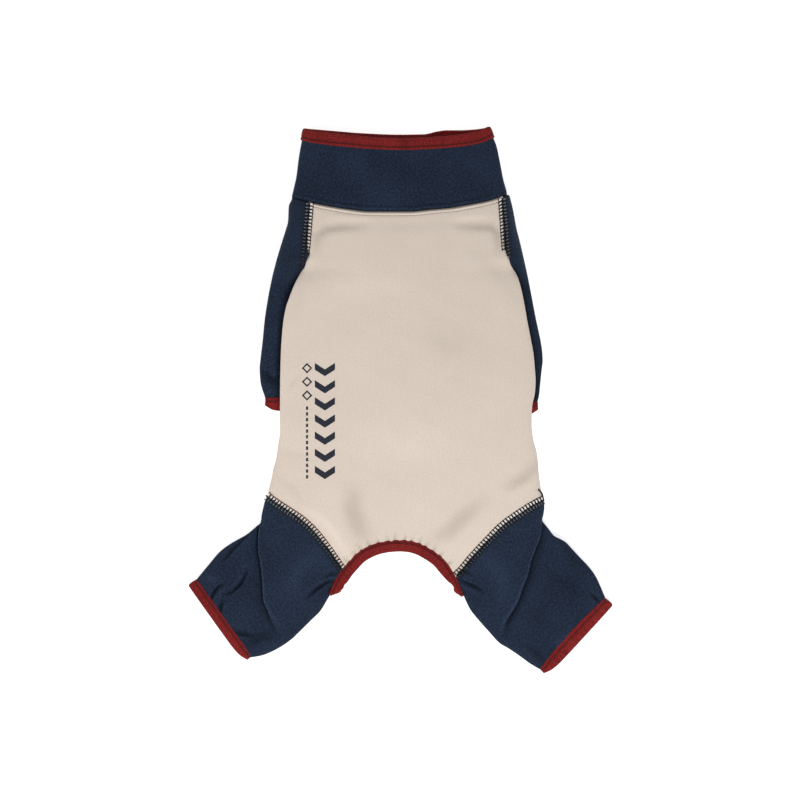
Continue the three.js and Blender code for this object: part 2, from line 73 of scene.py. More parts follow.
def smooth_table(rows, at):
    """Value at each place of a table of (place, value) rows, smooth and without overshoot."""
    rows = sorted(rows)
    x = np.array([row[0] for row in rows], float)
    y = np.array([row[1] for row in rows], float)
    step = np.diff(x)
    slope = np.diff(y) / step
    tangent = np.zeros(len(x))
    tangent[0] = slope[0]
    tangent[-1] = slope[-1]
    for k in range(1, len(x) - 1):
        if slope[k - 1] * slope[k] > 0:
            a = 2 * step[k] + step[k - 1]
            b = step[k] + 2 * step[k - 1]
            tangent[k] = (a + b) / (a / slope[k - 1] + b / slope[k])
    at = np.clip(np.asarray(at, float), x[0], x[-1])
    k = np.clip(np.searchsorted(x, at, side="right") - 1, 0, len(x) - 2)
    t = (at - x[k]) / step[k]
    h = step[k]
    return (
        y[k] * (1 + 2 * t) * (1 - t) ** 2
        + tangent[k] * h * t * (1 - t) ** 2
        + y[k + 1] * t * t * (3 - 2 * t)
        + tangent[k + 1] * h * t * t * (t - 1)
    )


def mix(a, b, share):
    """From a to b by a share."""
    return a + (b - a) * share


def step_up(value, low, high):
    """0 below low, 1 above high, smooth between."""
    t = np.clip((np.asarray(value, float) - low) / (high - low), 0, 1)
    return t * t * (3 - 2 * t)


def bell(distance, width, place=0.0):
    """1 at a place, and less on both sides of it, over about the width."""
    return np.exp(-(((distance - place) / width) ** 2))


def crown(share, side, top, power=2.6):
    """Height of a flattened tube's upper layer, at a share of the way from its middle to its
    fold, whose height is side."""
    return side + (top - side) * (1 - np.abs(share) ** power) ** (1 / power)


def sole(share, side, base=0.0):
    """Height of its lower layer, which lies flat on its base between round folds."""
    round_off = (1 - np.abs(share) ** 6) ** (1 / 6)
    return np.maximum(base, side - (side - base + 0.6) * round_off)


def dense_ends(length, pitch, end=True):
    """Shares of a length, about a pitch apart, and close together at its sewn start. With end
    they are close together at its end too."""
    first = np.array([0, 0.5, 1.0, 1.7, 2.6, 3.6, 4.8, 6.2, 8.0])
    last = length - first[::-1] if end else np.array([length])
    count = max(2, int(round((last[0] - first[-1]) / pitch)) + 1)
    middle = np.linspace(first[-1], last[0], count)
    return np.concatenate([first[:-1], middle, last[1:]]) / length


# Outline of the body on the photo. Columns: along Y, across X
BODY_LEFT = [
    (165, -69.6), (151.5, -69.8), (140, -70.8), (131, -71.4), (122, -72), (116.5, -71.4), (112, -70),
    (107, -72.6), (100, -75.8), (88, -81.8),
    (78.5, -85.5), (71, -88), (60, -90), (50, -91), (31, -92), (0, -92.5), (-24.5, -92.5),
    (-34.5, -94), (-44.5, -95.5), (-54, -98), (-61.5, -99.5), (-69.5, -101.5), (-90, -105.5),
    (-160, -110),
]  # fmt: skip
BODY_RIGHT = [
    (165, 78.3), (151.5, 79), (140, 79.8), (131, 80.6), (121, 81), (114, 82), (107, 85), (101, 87.8),
    (94, 91),
    (83, 94), (73, 96), (61.5, 98), (46, 101), (34.5, 103), (23, 104), (15.5, 104.5),
    (6, 104), (-4, 102), (-11.5, 101.5), (-19, 101.5), (-31, 103), (-40, 105.5),
    (-47.5, 106.5), (-58, 107.4), (-72.5, 109.4), (-90, 111), (-160, 113),
]  # fmt: skip

# Height of the body's back along the garment. Columns: along Y, height
BODY_HEIGHT = [
    (160, 21.5), (143, 22.5), (126, 23.5), (109, 24.2), (88, 25), (-32, 25), (-45, 24.5),
    (-68, 23.5), (-92, 21.5), (-121, 18.5), (-158, 15),
]  # fmt: skip

# Seams. Columns: across X, along Y
COLLAR_SEAM = [
    (-90, 157.6), (-84, 156.6), (-69.5, 152.6), (-54, 149.3), (-38.5, 146.8), (-23, 145.2),
    (7.5, 145.2), (23, 146.6), (38.5, 148), (54, 150.6), (69.5, 153.8), (82.5, 158), (90, 160.3),
]  # fmt: skip
HIND_SEAM_LEFT = [
    (-110, -68), (-101.8, -74.6), (-98.4, -77.4), (-86.6, -85.2), (-74.7, -93.4), (-65.3, -102.4),
    (-57.1, -112.9), (-51.2, -121.2), (-44, -131.5),
]  # fmt: skip
HIND_SEAM_RIGHT = [
    (43, -136), (48.4, -130.4), (55.2, -122), (62, -114.6), (69.3, -106.8), (77.1, -98.8),
    (82.7, -94.2), (88.9, -89.9), (94, -86.5), (99.2, -83.2), (104.5, -80.2), (110.5, -77.3),
    (115, -75),
]  # fmt: skip

# The rump binding's outer edge, from the left crotch over the rump to the right crotch
RUMP_ARCH = [
    (-53.3, -146.2), (-52.3, -143.2), (-48.4, -136.2), (-43.7, -129.3), (-38.8, -123.7), (-34, -118.6),
    (-29.5, -115.3), (-23, -112), (-15.5, -109.5), (-7.5, -108.2), (0, -107.8), (7.5, -108.4),
    (15.5, -110.6), (23, -114.5), (31, -120), (35.5, -124.7), (38.6, -129), (42.8, -135.8),
    (47.1, -142.2), (48.8, -145.2),
]  # fmt: skip
BELLY_ARCH_TOP = -55.0  # how far up the belly is cut out, along Y
CROTCH = ((-54.0, -150.0), (49.0, -151.0))  # left and right, in plan
ARMHOLE_END = (97.0, 110.0)  # where the side fold grows out of the armhole seam
RISE = (113.6, 87.3, -16.4, -44.4)  # the belly's rise: starts, is up, starts down, is down


def body_frame(y):
    """Middle and half width of the body at a place along it."""
    left = smooth_table(BODY_LEFT, y)
    right = smooth_table(BODY_RIGHT, y)
    return (left + right) / 2, (right - left) / 2


def at_armhole(y):
    """1 along the armhole seam, 0 where the body has a side fold."""
    return step_up(y, *ARMHOLE_END)


def lift_at(y):
    """How far the sleeves lift the belly at a place along it."""
    up = step_up(RISE[0] - y, 0, RISE[0] - RISE[1])
    down = step_up(RISE[2] - y, 0, RISE[2] - RISE[3])
    return UNDER_LIFT * up * (1 - down)


def underside(x, y):
    """Height of the belly over the floor."""
    left = step_up(SLEEVE_INNER[0] + RAMP - x, 0, RAMP)
    right = step_up(x - SLEEVE_INNER[1] + RAMP, 0, RAMP)
    return lift_at(y) * np.maximum(left, right)


def side_height(y):
    """Height of the body's side fold."""
    return (smooth_table(BODY_HEIGHT, y) + lift_at(y)) / 2


# Creases and dents in the cloth, as a change of height. Columns: points along its line,
# width, depth (a crease below 0, a ridge above), how far its edge bends (0 soft, 1 one-sided)
CREASES = [
    # under the collar at both shoulders
    ([(-65, 116), (-63.5, 127), (-57, 132.5), (-45, 134), (-28, 134.5)], 7, -2.1, 0.0),
    ([(77, 116), (76, 129), (71, 134.5), (60, 134.5), (44, 135)], 7, -2.1, 0.0),
    ([(-55, 141), (-40, 140), (-20, 139.5)], 5, 0.6, 0.0),
    ([(70, 143), (55, 141), (38, 140)], 5, 0.6, 0.0),
    ([(-30, 136), (-10, 134), (20, 135), (45, 137)], 8, -0.5, 0.0),
    # folds that run in from the hips
    ([(108, -48), (98, -58), (84, -66)], 9, -1.8, 0.3),
    ([(26, -106), (38, -100), (50, -88), (64, -77)], 12, -2.0, 0.0),
    ([(-24, -107), (-31, -98), (-36, -84), (-36, -66)], 14, -2.2, 0.0),
    ([(-40, -120), (-47, -106), (-58, -92), (-72, -84)], 8, 1.0, 0.0),
    ([(-95, -39), (-82, -41), (-66, -44)], 6, -0.5, 0.0),
    ([(-96, -58), (-84, -66), (-74, -79)], 7, -0.5, 0.0),
    # broad soft swells
    ([(20, 60), (38, 46), (62, 40)], 26, -0.8, 0.0),
    ([(-60, 80), (-30, 92), (5, 95)], 30, 0.5, 0.0),
    ([(-40, -20), (0, -32), (40, -30)], 30, 0.5, 0.0),
    ([(60, 112), (84, 88), (92, 70)], 12, -0.6, 0.0),
    ([(-60, 108), (-76, 86), (-84, 66)], 11, -0.5, 0.0),
    # the left sleeve's fold by its cuff, and the body's beside it
    ([(-105, 22), (-100, 17), (-94, 12)], 6, -1.8, 0.4),
    ([(-76.6, 20), (-82, 14), (-86, 7)], 3, -0.7, 0.0),
    # left hind leg
    ([(-117, -104), (-123, -110), (-129.5, -116.5), (-134, -122), (-137, -124.5)], 3.0, -2.0, 0.8),
    ([(-146.5, -154.5), (-144.5, -149), (-141, -144.5), (-138, -142)], 2.4, -2.4, 0.6),
    ([(-136.5, -155), (-138, -160), (-138.5, -165)], 2.4, -2.2, 0.5),
    ([(-117.5, -131), (-119.5, -137), (-123, -143), (-129, -148.5), (-134.5, -150.5)], 2.4, -2.4, 0.8),
    ([(-114, -182), (-121, -181), (-129, -179)], 4, -1.6, 0.4),
    ([(-120, -193), (-124, -190), (-129, -184)], 3.4, -1.4, 0.3),
    ([(-98, -181), (-108, -183), (-118, -188)], 8, -1.2, 0.0),
    ([(-150, -134), (-145, -138), (-139, -138)], 5, 0.9, 0.0),
    ([(-70, -120), (-80, -134), (-84, -152)], 14, 0.6, 0.0),
    # right hind leg
    ([(122, -107), (127, -113), (133, -121), (141, -130)], 8, -0.5, 0.0),
    ([(112, -128), (122, -138), (136, -146), (149, -148)], 10, -0.6, 0.0),
    ([(101, -160), (110, -170), (120, -176), (131, -178)], 9, -0.5, 0.0),
    ([(148, -150), (151, -152.5), (154.5, -156)], 2.4, -2.0, 0.4),
    ([(98, -190), (106, -195), (112, -203)], 5, -1.0, 0.0),
    ([(120, -190), (126, -184), (131, -176)], 6, 0.8, 0.0),
    ([(70, -122), (78, -138), (80, -156)], 14, 0.6, 0.0),
    # pinches beside both crotches
    ([(-50.5, -140.5), (-55, -140.5), (-60, -143.5), (-65, -147), (-71, -153)], 2.4, -2.4, 0.7),
    ([(-47, -134), (-53, -134.5), (-59, -137.5)], 2.6, -1.6, 0.5),
    ([(46.5, -138.5), (51, -140.5), (57, -142.8), (64, -147)], 2.4, -2.4, 0.7),
    ([(43, -131.5), (50, -131.5), (56, -134.5)], 3, -1.2, 0.4),
]

# Small gathers that the rump binding draws into the back. Columns: across X, length
GATHERS = [
    (-40, 7), (-34.5, 5), (-30, 8), (-23.5, 6), (-17, 4.5), (-9.5, 5), (-3.5, 7), (3.5, 5.5),
    (9, 4.5), (15, 6.5), (20, 4.5), (25.5, 6), (31, 5), (37, 7.5),
]  # fmt: skip


def path_distance(x, y, points):
    """Distance to a line of points, signed by its side, and how far along it (0 to 1)."""
    points = np.array(points, float)
    sizes = np.linalg.norm(np.diff(points, axis=0), axis=1)
    before = np.concatenate([[0], np.cumsum(sizes)])
    best = np.full(np.shape(x), 1e9)
    side = np.ones(np.shape(x))
    share = np.zeros(np.shape(x))
    for k, size in enumerate(sizes):
        ax, ay = points[k]
        dx, dy = (points[k + 1] - points[k]) / size
        along = np.clip((x - ax) * dx + (y - ay) * dy, 0, size)
        off_x = x - ax - along * dx
        off_y = y - ay - along * dy
        distance = np.hypot(off_x, off_y)
        near = distance < best
        best = np.where(near, distance, best)
        side = np.where(near, np.sign(off_x * dy - off_y * dx), side)
        share = np.where(near, (before[k] + along) / before[-1], share)
    return best, side, share


def relief(x, y, tone=False):
    """Height that creases, gathers and slack add to the cloth at a plan point. With tone it gives
    instead the painted shade there: above 0 in creases and gathers, below 0 a painted highlight on
    their edges."""
    x = np.asarray(x, float)
    painted_shade = np.zeros(np.broadcast(x, y).shape)
    y = np.asarray(y, float)
    height = 0.35 * np.sin(x / 23 + 0.6) * np.sin(y / 31 + 1.1)
    height = height + 0.22 * np.sin(x / 9.5 - y / 14 + 2.0) * np.sin(y / 17 + x / 38)
    height = height + 0.10 * np.sin(x / 4.3 + y / 7.1) * np.sin(y / 5.9 - x / 11)
    for points, width, depth, bend in CREASES:
        distance, side, share = path_distance(x, y, points)
        taper = np.sin(np.pi * np.clip(0.08 + 0.84 * share, 0, 1)) ** 0.8
        reach = width * (1 + bend * side * 0.6)
        core = taper * bell(distance, reach / 2)
        edge = bend * taper * bell(distance, reach / 1.6, reach)
        height = height + depth * (core - 0.5 * edge)
        # painted shade in the crease, and a painted highlight on its raised edge
        painted_shade = painted_shade - depth * (0.45 * core - 0.25 * edge)
    arch = np.array(RUMP_ARCH)
    for place, length in GATHERS:
        foot = smooth_table(RUMP_ARCH, place)
        before, after = np.interp([place - 1, place + 1], arch[:, 0], arch[:, 1])
        slope = (after - before) / 2
        away = np.array([-slope, 1.0]) / math.hypot(slope, 1)
        tip = (place + away[0] * length, foot + away[1] * length)
        distance, _, share = path_distance(x, y, [(place, float(foot)), tip])
        height = height - 0.95 * (1 - share) * bell(distance, 1.2)
        height = height + 0.4 * (1 - share) * bell(distance, 1.2, 2.2)
        # painted shade in each gather
        painted_shade = painted_shade + 2.0 * (1 - share) * bell(distance, 0.9)
    return np.clip(painted_shade, -1, 2.0) if tone else height


def back_height(x, y):
    """Height of the cloth of the body's back at a plan point, creases included."""
    middle, half = body_frame(y)
    share = np.clip(np.abs((x - middle) / half), 0, 1)
    top = smooth_table(BODY_HEIGHT, y)
    side = side_height(y)
    folded = crown(share, side, top)
    seamed = top * (1 - 0.10 * share**4)
    sewn = at_armhole(y)
    calm = 1 - share**10 * (1 - sewn)
    return mix(folded, seamed, sewn) + relief(x, y) * calm


def plain_mesh(name, points, faces, material):
    """Smooth mesh object from points in millimetres, its UV map not yet filled in."""
    points = (np.asarray(points, float) + SHIFT) * MM
    made = bpy.data.meshes.new(name)
    made.from_pydata(points.tolist(), [], faces)
    made.uv_layers.new(name="cloth")
    made.materials.append(material)
    made.polygons.foreach_set("use_smooth", [True] * len(made.polygons))
    made.update()
    piece = bpy.data.objects.new(name, made)
    bpy.context.collection.objects.link(piece)
    return piece


def grid_mesh(name, grid, uv, material, around=False, closed=False, keep=None, flip=False, tone=None):
    """Mesh from a grid of points: around joins its last column to its first, closed its last
    row to its first. keep is a table of faces to leave out where it is False. tone is painted
    shade: how much the cloth's colour darkens at each point (below 0 a painted highlight that
    lightens it), kept as a mesh attribute."""
    rows, columns = grid.shape[:2]
    row_count = rows if closed else rows - 1
    column_count = columns if around else columns - 1
    r, c = np.meshgrid(np.arange(row_count), np.arange(column_count), indexing="ij")
    r2 = (r + 1) % rows
    c2 = (c + 1) % columns
    quads = np.stack([r * columns + c, r * columns + c2, r2 * columns + c2, r2 * columns + c], -1)
    corner_uv = np.stack([uv[r, c], uv[r, c2], uv[r2, c2], uv[r2, c]], 2)
    if around:
        wrap = c2 == 0
        corner_uv[wrap, 1:3, 0] = (2 * uv[:, -1, 0] - uv[:, -2, 0])[r[wrap]][:, None]
    if closed:
        wrap = r2 == 0
        corner_uv[wrap, 2:4, 1] = (2 * uv[-1, :, 1] - uv[-2, :, 1])[c[wrap]][:, None]
    if keep is not None:
        quads = quads[keep]
        corner_uv = corner_uv[keep]
    quads = quads.reshape(-1, 4)
    corner_uv = corner_uv.reshape(-1, 4, 2)
    if flip:
        quads = quads[:, ::-1]
        corner_uv = corner_uv[:, ::-1]
    used, index = np.unique(quads, return_inverse=True)
    faces = index.reshape(-1, 4).tolist()
    piece = plain_mesh(name, grid.reshape(-1, 3)[used], faces, material)
    piece.data.uv_layers["cloth"].data.foreach_set("uv", corner_uv.ravel() * PATCH_UV)
    if tone is not None:
        painted_shade = piece.data.attributes.new("painted_shade", "FLOAT", "POINT")
        painted_shade.data.foreach_set("value", np.broadcast_to(tone, (rows, columns)).reshape(-1)[used])
    return piece


def thicken(piece, thickness=CLOTH):
    """Gives a sheet its thickness, on the side away from its faces."""
    wall = piece.modifiers.new("cloth", "SOLIDIFY")
    wall.thickness = thickness * MM
    wall.offset = -1
    wall.use_even_offset = False
    return piece


def dress(piece, slot, *nodes):
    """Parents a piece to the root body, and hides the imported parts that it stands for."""
    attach(piece, "root")
    if nodes:
        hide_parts(*nodes)
    return piece


def distances(path):
    """How far along a path each of its points is."""
    return np.concatenate([[0], np.cumsum(np.linalg.norm(np.diff(path, axis=0), axis=1))])


def distances_across(grid):
    """How far round the cloth each column of a grid of points is, on its rows' average."""
    steps = np.linalg.norm(np.diff(grid, axis=1), axis=2).mean(axis=0)
    return np.concatenate([[0], np.cumsum(steps)])


def path_through(points, pitch=None, count=None):
    """Points at even distances along a smooth line through the given ones."""
    points = np.array(points, float)
    chord = distances(points)
    fine = np.linspace(0, chord[-1], 40 * len(points))
    line = np.stack([smooth_table(list(zip(chord, column)), fine) for column in points.T], 1)
    along = distances(line)
    if count is None:
        count = max(2, int(round(along[-1] / pitch)) + 1)
    places = np.linspace(0, along[-1], count)
    return np.stack([np.interp(places, along, column) for column in line.T], 1)


def beside(path, distance):
    """A plan path moved sideways: to its left for a positive distance."""
    along = np.gradient(path[:, :2], axis=0)
    along /= np.linalg.norm(along, axis=1)[:, None]
    moved = path.copy()
    moved[:, 0] -= along[:, 1] * distance
    moved[:, 1] += along[:, 0] * distance
    return moved


def color(code):
    """sRGB hex to linear RGBA."""
    parts = [int(code[k : k + 2], 16) / 255 for k in (1, 3, 5)]
    return tuple(p / 12.92 if p <= 0.04045 else ((p + 0.055) / 1.055) ** 2.4 for p in parts) + (1,)


def add(tree, kind, *values, **named):
    """Adds a node with its settings and links. values fill its inputs in their order. A name
    with a small first letter is a setting, and any other an input, with _ for a space. A node
    that is given as a value is linked by its first output."""
    node = tree.nodes.new(kind)
    wanted = list(enumerate(values))
    for key, value in named.items():
        if key[0].islower():
            setattr(node, key, value)
        else:
            wanted.append((key.replace("_", " "), value))
    for key, value in wanted:
        socket = node.inputs[key]
        if isinstance(value, bpy.types.Node):
            value = value.outputs[0]
        if isinstance(value, bpy.types.NodeSocket):
            tree.links.new(value, socket)
        else:
            socket.default_value = value
    return node


MATH = "ShaderNodeMath"
TURN = 2 * math.pi


def plain_material(name, code, roughness=0.9, grain=0.0):
    """A material of one colour. With grain it varies in tone and height, as spun fibres do."""
    made = bpy.data.materials.new(name)
    made.use_nodes = True
    tree = made.node_tree
    shader = tree.nodes["Principled BSDF"]
    shader.inputs["Base Color"].default_value = color(code)
    shader.inputs["Roughness"].default_value = roughness
    if grain:
        # tufts of 0.45 mm, drawn coarser than real fibres so that they show
        place = add(tree, "ShaderNodeTexCoord").outputs["Object"]
        fibres = add(tree, "ShaderNodeTexNoise", Vector=place, Scale=2200.0, Detail=3.0)
        bright = add(tree, MATH, fibres, 2 * grain, 1 - grain, operation="MULTIPLY_ADD")
        toned = add(tree, "ShaderNodeVectorMath", color(code)[:3], Scale=bright, operation="SCALE")
        bump = add(tree, "ShaderNodeBump", Strength=0.8, Distance=0.06 * MM, Height=fibres)
        tree.links.new(toned.outputs[0], shader.inputs["Base Color"])
        tree.links.new(bump.outputs[0], shader.inputs["Normal"])
    return made


def cloth_material(name, code, shade, wale, course, depth, mottle, sheen, sheen_code, crease_shade,
                   rib=False):
    """Knitted cloth. wale and course are the knit's pitches across and along it, and depth its
    height, all in metres. The setting after sheen_code is how much painted shade darkens its
    creases and painted highlight lightens their edges."""
    made = bpy.data.materials.new(name)
    made.use_nodes = True
    tree = made.node_tree
    shader = tree.nodes["Principled BSDF"]
    place = add(tree, "ShaderNodeTexCoord").outputs["UV"]
    split = add(tree, "ShaderNodeSeparateXYZ", place)
    across = add(tree, MATH, split.outputs[0], wale, operation="DIVIDE")
    along = add(tree, MATH, split.outputs[1], course, operation="DIVIDE")
    if rib:
        # each wale is a round cord
        wave = add(tree, MATH, across, TURN, operation="MULTIPLY")
        column = add(tree, MATH, wave, operation="SINE")
        loop_share, row = 0.25, along
    else:
        # each wale is a column of V shapes
        slant = add(tree, MATH, across, 0.5, operation="PINGPONG")
        column = add(tree, MATH, slant, 3.0, operation="MULTIPLY")
        loop_share, row = 0.5, add(tree, MATH, slant, 1.6, along, operation="MULTIPLY_ADD")
    wave = add(tree, MATH, row, TURN, operation="MULTIPLY")
    loops = add(tree, MATH, wave, operation="SINE")
    knit = add(tree, MATH, loops, loop_share, column, operation="MULTIPLY_ADD")
    # fibres of about 1.1 mm over the knit, patches of 1.6 mm and broad ones of 45 mm in its tone
    fuzz = add(tree, "ShaderNodeTexNoise", Vector=place, Scale=900.0, Detail=3.0, Roughness=0.65)
    patches = add(tree, "ShaderNodeTexNoise", Vector=place, Scale=620.0, Detail=3.0, Roughness=0.7)
    broad = add(tree, "ShaderNodeTexNoise", Vector=place, Scale=22.0, Detail=2.0)
    low = add(tree, MATH, knit, 0.45, operation="MULTIPLY")
    level = add(tree, MATH, fuzz, 1.6, low, operation="MULTIPLY_ADD")
    bump = add(tree, "ShaderNodeBump", Strength=1.0, Distance=depth, Height=level)
    even = add(tree, MATH, broad, 0.25, operation="MULTIPLY")
    tone = add(tree, MATH, patches, 0.75, even, operation="MULTIPLY_ADD")
    centred = add(tree, MATH, tone, 0.5, operation="SUBTRACT")
    tone = add(tree, MATH, centred, mottle, 0.5, operation="MULTIPLY_ADD")
    blend = add(tree, "ShaderNodeMix", data_type="RGBA", Factor=tone)
    blend.inputs[6].default_value = color(shade)
    blend.inputs[7].default_value = color(code)
    # painted shade darkens the creases and a painted highlight lightens their edges, read from the mesh
    # attribute
    painted_shade = add(tree, "ShaderNodeAttribute", attribute_name="painted_shade").outputs["Fac"]
    bright = add(tree, MATH, painted_shade, -crease_shade, 1.0, operation="MULTIPLY_ADD")
    bright = add(tree, MATH, bright, 0.25, operation="MAXIMUM")
    shaded = add(tree, "ShaderNodeVectorMath", blend.outputs[2], Scale=bright, operation="SCALE")
    tree.links.new(shaded.outputs[0], shader.inputs["Base Color"])
    tree.links.new(bump.outputs[0], shader.inputs["Normal"])
    shader.inputs["Roughness"].default_value = 0.92
    shader.inputs["Sheen Weight"].default_value = sheen
    shader.inputs["Sheen Roughness"].default_value = 0.35
    shader.inputs["Sheen Tint"].default_value = color(sheen_code)
    shader.inputs["Specular IOR Level"].default_value = 0.15
    return made


# Brushed cotton jersey looks matt and mottled, with a faint sheen from its raised fibres. Its
# knit is drawn with wales of 1.3 mm and courses of 1.1 mm, coarser than the cloth's, so that it
# shows at the photo's size
CREAM = cloth_material("cream_jersey", "#eadccf", "#dccdbf", 1.3 * MM, 1.1 * MM, 0.10 * MM,
                       mottle=2.2, sheen=0.12, sheen_code="#ffffff", crease_shade=0.2)
NAVY = cloth_material("navy_jersey", "#2b394f", "#151c29", 1.3 * MM, 1.1 * MM, 0.22 * MM,
                      mottle=3.8, sheen=0.22, sheen_code="#7f93b5", crease_shade=0.75)
# Cotton rib looks like fine cords side by side. It is drawn with ribs of 2.2 mm, coarser than
# the cloth's for the same reason
RED = cloth_material("red_rib", "#8f2b2a", "#6a1918", 2.2 * MM, 1.5 * MM, 0.22 * MM,
                     mottle=4.5, sheen=0.04, sheen_code="#c98a86", crease_shade=0.5, rib=True)
# Spun polyester sewing thread looks dull, with loose fibres
THREAD_BLACK = plain_material("black_thread", "#0b0c10", 0.8, 0.5)
THREAD_RED = plain_material("red_thread", "#571314", 0.7, 0.5)
THREAD_TAN = plain_material("tan_thread", "#85776c", 0.7, 0.5)
THREAD_BROWN = plain_material("red_brown_thread", "#6b2a24", 0.7, 0.5)
# The same jersey where it puffs up between stitches, paler as it catches the light
PAD_CREAM = plain_material("cream_puff", "#fffaf3", 0.9, 0.12)
PAD_GREY = plain_material("grey_puff", "#69717d", 0.9, 0.3)
# Pigment ink printed on the jersey looks flat and matt, broken up by the fibres
INK = plain_material("navy_ink", "#151b2b", 0.75, 0.3)

# Shares across a flattened tube, close together where it folds
FOLD_STEPS = np.array([0, 0.0005, 0.002, 0.005, 0.01, 0.018, 0.03, 0.045, 0.065, 0.09])


def half_shares(count):
    """Shares from a tube's middle to its fold."""
    inner = np.linspace(0, 1 - FOLD_STEPS[-1], count, endpoint=False)
    return np.concatenate([inner, 1 - FOLD_STEPS[::-1]])


def full_shares(count):
    """Shares from one fold of a tube over its middle to the other."""
    half = half_shares(count)
    return np.concatenate([-half[:0:-1], half])


def edge_dip(distance, depth=TUCK):
    """How far a sewn edge dips at a distance from it."""
    return depth * (1 - step_up(distance, 0, 1.8))


def hind_seam(x):
    """The hind seams' place along Y, across the garment."""
    return np.where(x < 0, smooth_table(HIND_SEAM_LEFT, x), smooth_table(HIND_SEAM_RIGHT, x))


def back_bottom(x):
    """The back's lower edge: the rump arch between the hip seams."""
    line = beside(path_through(RUMP_ARCH, count=200), -SEWN_IN)
    between = (x > HIND_SEAM_LEFT[-1][0] + 0.4) & (x < HIND_SEAM_RIGHT[0][0] - 0.4)
    return np.where(between, np.interp(x, line[:, 0], line[:, 1]), hind_seam(x))


def belly_arch(x):
    """Edge of the belly's cut-out, between the crotches."""
    span = np.where(x < 0, -CROTCH[0][0], CROTCH[1][0])
    crotch = np.where(x < 0, CROTCH[0][1], CROTCH[1][1])
    return crotch + (BELLY_ARCH_TOP - crotch) * (1 - np.clip(np.abs(x) / span, 0, 1) ** 2.6)


def belly_bottom(x):
    """The belly's lower edge: its cut-out between the hip seams."""
    between = (x > CROTCH[0][0]) & (x < CROTCH[1][0])
    return np.where(between, np.maximum(belly_arch(x) + SEWN_IN, hind_seam(x)), hind_seam(x))


def body_rows(share, rows, bottom):
    """Plan points of the body for shares across it (columns) and down it (rows)."""
    share = np.broadcast_to(share, (len(rows), len(share)))
    # first guesses of both ends, which then close in on the seams
    high = np.full(share.shape, 150.0)
    low = np.full(share.shape, -80.0)
    for _ in range(6):
        middle, half = body_frame(high)
        high = smooth_table(COLLAR_SEAM, middle + share * half)
        middle, half = body_frame(low)
        low = mix(low, bottom(middle + share * half), 0.7)
    # the lower edge's corners bend only the last rows
    count = low.shape[1]
    apart = np.abs(np.arange(count)[:, None] - np.arange(count)[None, :])
    weights = np.exp(-((apart / 9.0) ** 2))
    level = (low @ weights) / weights.sum(axis=0)
    y = mix(high, level, rows[:, None]) + (low - level) * rows[:, None] ** 14
    middle, half = body_frame(y)
    return middle + share * half, y, high - low


# How far inside the side fold each column of the back's underside runs
UNDER_STEPS = np.array([0.05, 0.3, 0.9, 1.8, 3, 4.5, 6.5, 9, 11.5, 14.0])


def build_back():
    """The back: cream jersey that wraps round both side folds to the belly seams."""
    rows = dense_ends(BACK_LENGTH, 1.5)
    top = full_shares(62)
    fold = np.ones(len(UNDER_STEPS))
    sides = np.concatenate([-fold, top, fold])
    inboard = np.concatenate([UNDER_STEPS[::-1], np.zeros(len(top)), UNDER_STEPS])
    x, y, length = body_rows(sides, rows, back_bottom)
    sewn = at_armhole(y)
    sign = np.sign(sides)[None, :]
    half = body_frame(y)[1]
    from_top = rows[:, None] * length
    from_bottom = (1 - rows[:, None]) * length
    z = back_height(x, y)
    on_top = inboard == 0
    to_seam = (1 - np.abs(sides)[None, :]) * half
    z = z - edge_dip(from_top, 1.7) - edge_dip(from_bottom) - sewn * edge_dip(to_seam)
    z = z + 0.7 * bell(from_top, 0.9, COLLAR_PUFF) - 0.6 * bell(from_top, 0.5, TOPSTITCH_BELOW)
    # round the fold to the underside, or straight down inside an armhole seam
    far = inboard[None, :]
    side = side_height(y)
    share = 1 - far / half
    base = underside(x - sign * far, y)
    under_z = sole(share, side, base)
    seam_z = back_height(x, y) - TUCK - far * 0.25
    under_z = mix(under_z, seam_z, sewn)
    x = np.where(on_top, x, x - sign * mix(far, far * 0.1, sewn))
    z = np.where(on_top, z, under_z)
    grid = np.stack([x, y, z], -1)
    across = distances_across(grid)
    uv = np.stack([np.broadcast_to(across - across.mean(), y.shape), y], -1)
    # painted shadow along the collar's seam, painted highlight where the cloth puffs beside it, painted
    # shade in the topstitching's groove, and the creases' painted shade
    tone = relief(x, y, tone=True) * on_top + 1.6 * bell(from_top, 0.9)
    tone = tone - 0.6 * bell(from_top, 0.7, COLLAR_PUFF) + 0.8 * bell(from_top, 0.4, TOPSTITCH_BELOW)
    return grid_mesh("back", grid, uv, CREAM, flip=True, tone=tone)


back = dress(thicken(build_back()), "cream_jersey", "back_panel")


def build_belly():
    """The belly: cream jersey on the underside, between the belly seams."""
    rows = dense_ends(BELLY_LENGTH, 2.6)
    share = np.linspace(-1, 1, 70)
    middle_y = 157.0 - rows * 235
    inset = mix(BELLY_INSET - 0.8, 18.0, step_up(middle_y, 104, 128))
    high = np.full((len(rows), len(share)), 152.0)
    low = np.full(high.shape, -80.0)
    for _ in range(8):
        for edge in (high, low):
            middle, half = body_frame(edge)
            x = middle + share[None, :] * (half - inset[:, None])
            goal = smooth_table(COLLAR_SEAM, x) if edge is high else belly_bottom(x)
            edge[:] = mix(edge, goal, 0.7)
    y = mix(high, low, rows[:, None])
    middle, half = body_frame(y)
    x = middle + share[None, :] * (half - inset[:, None])
    edge_far = (1 - np.abs(share))[None, :] * (half - inset[:, None])
    z = underside(x, y) + 0.25 + 0.4 * (1 - step_up(edge_far, 0, 2.0))
    from_top = rows[:, None] * BELLY_LENGTH
    z = z + edge_dip(from_top, 0.8) + edge_dip(BELLY_LENGTH - from_top, 0.8)
    uv = np.stack([x, y], -1)
    return grid_mesh("belly", np.stack([x, y, z], -1), uv, CREAM)


belly = dress(thicken(build_belly()), "cream_jersey", "belly_panel")

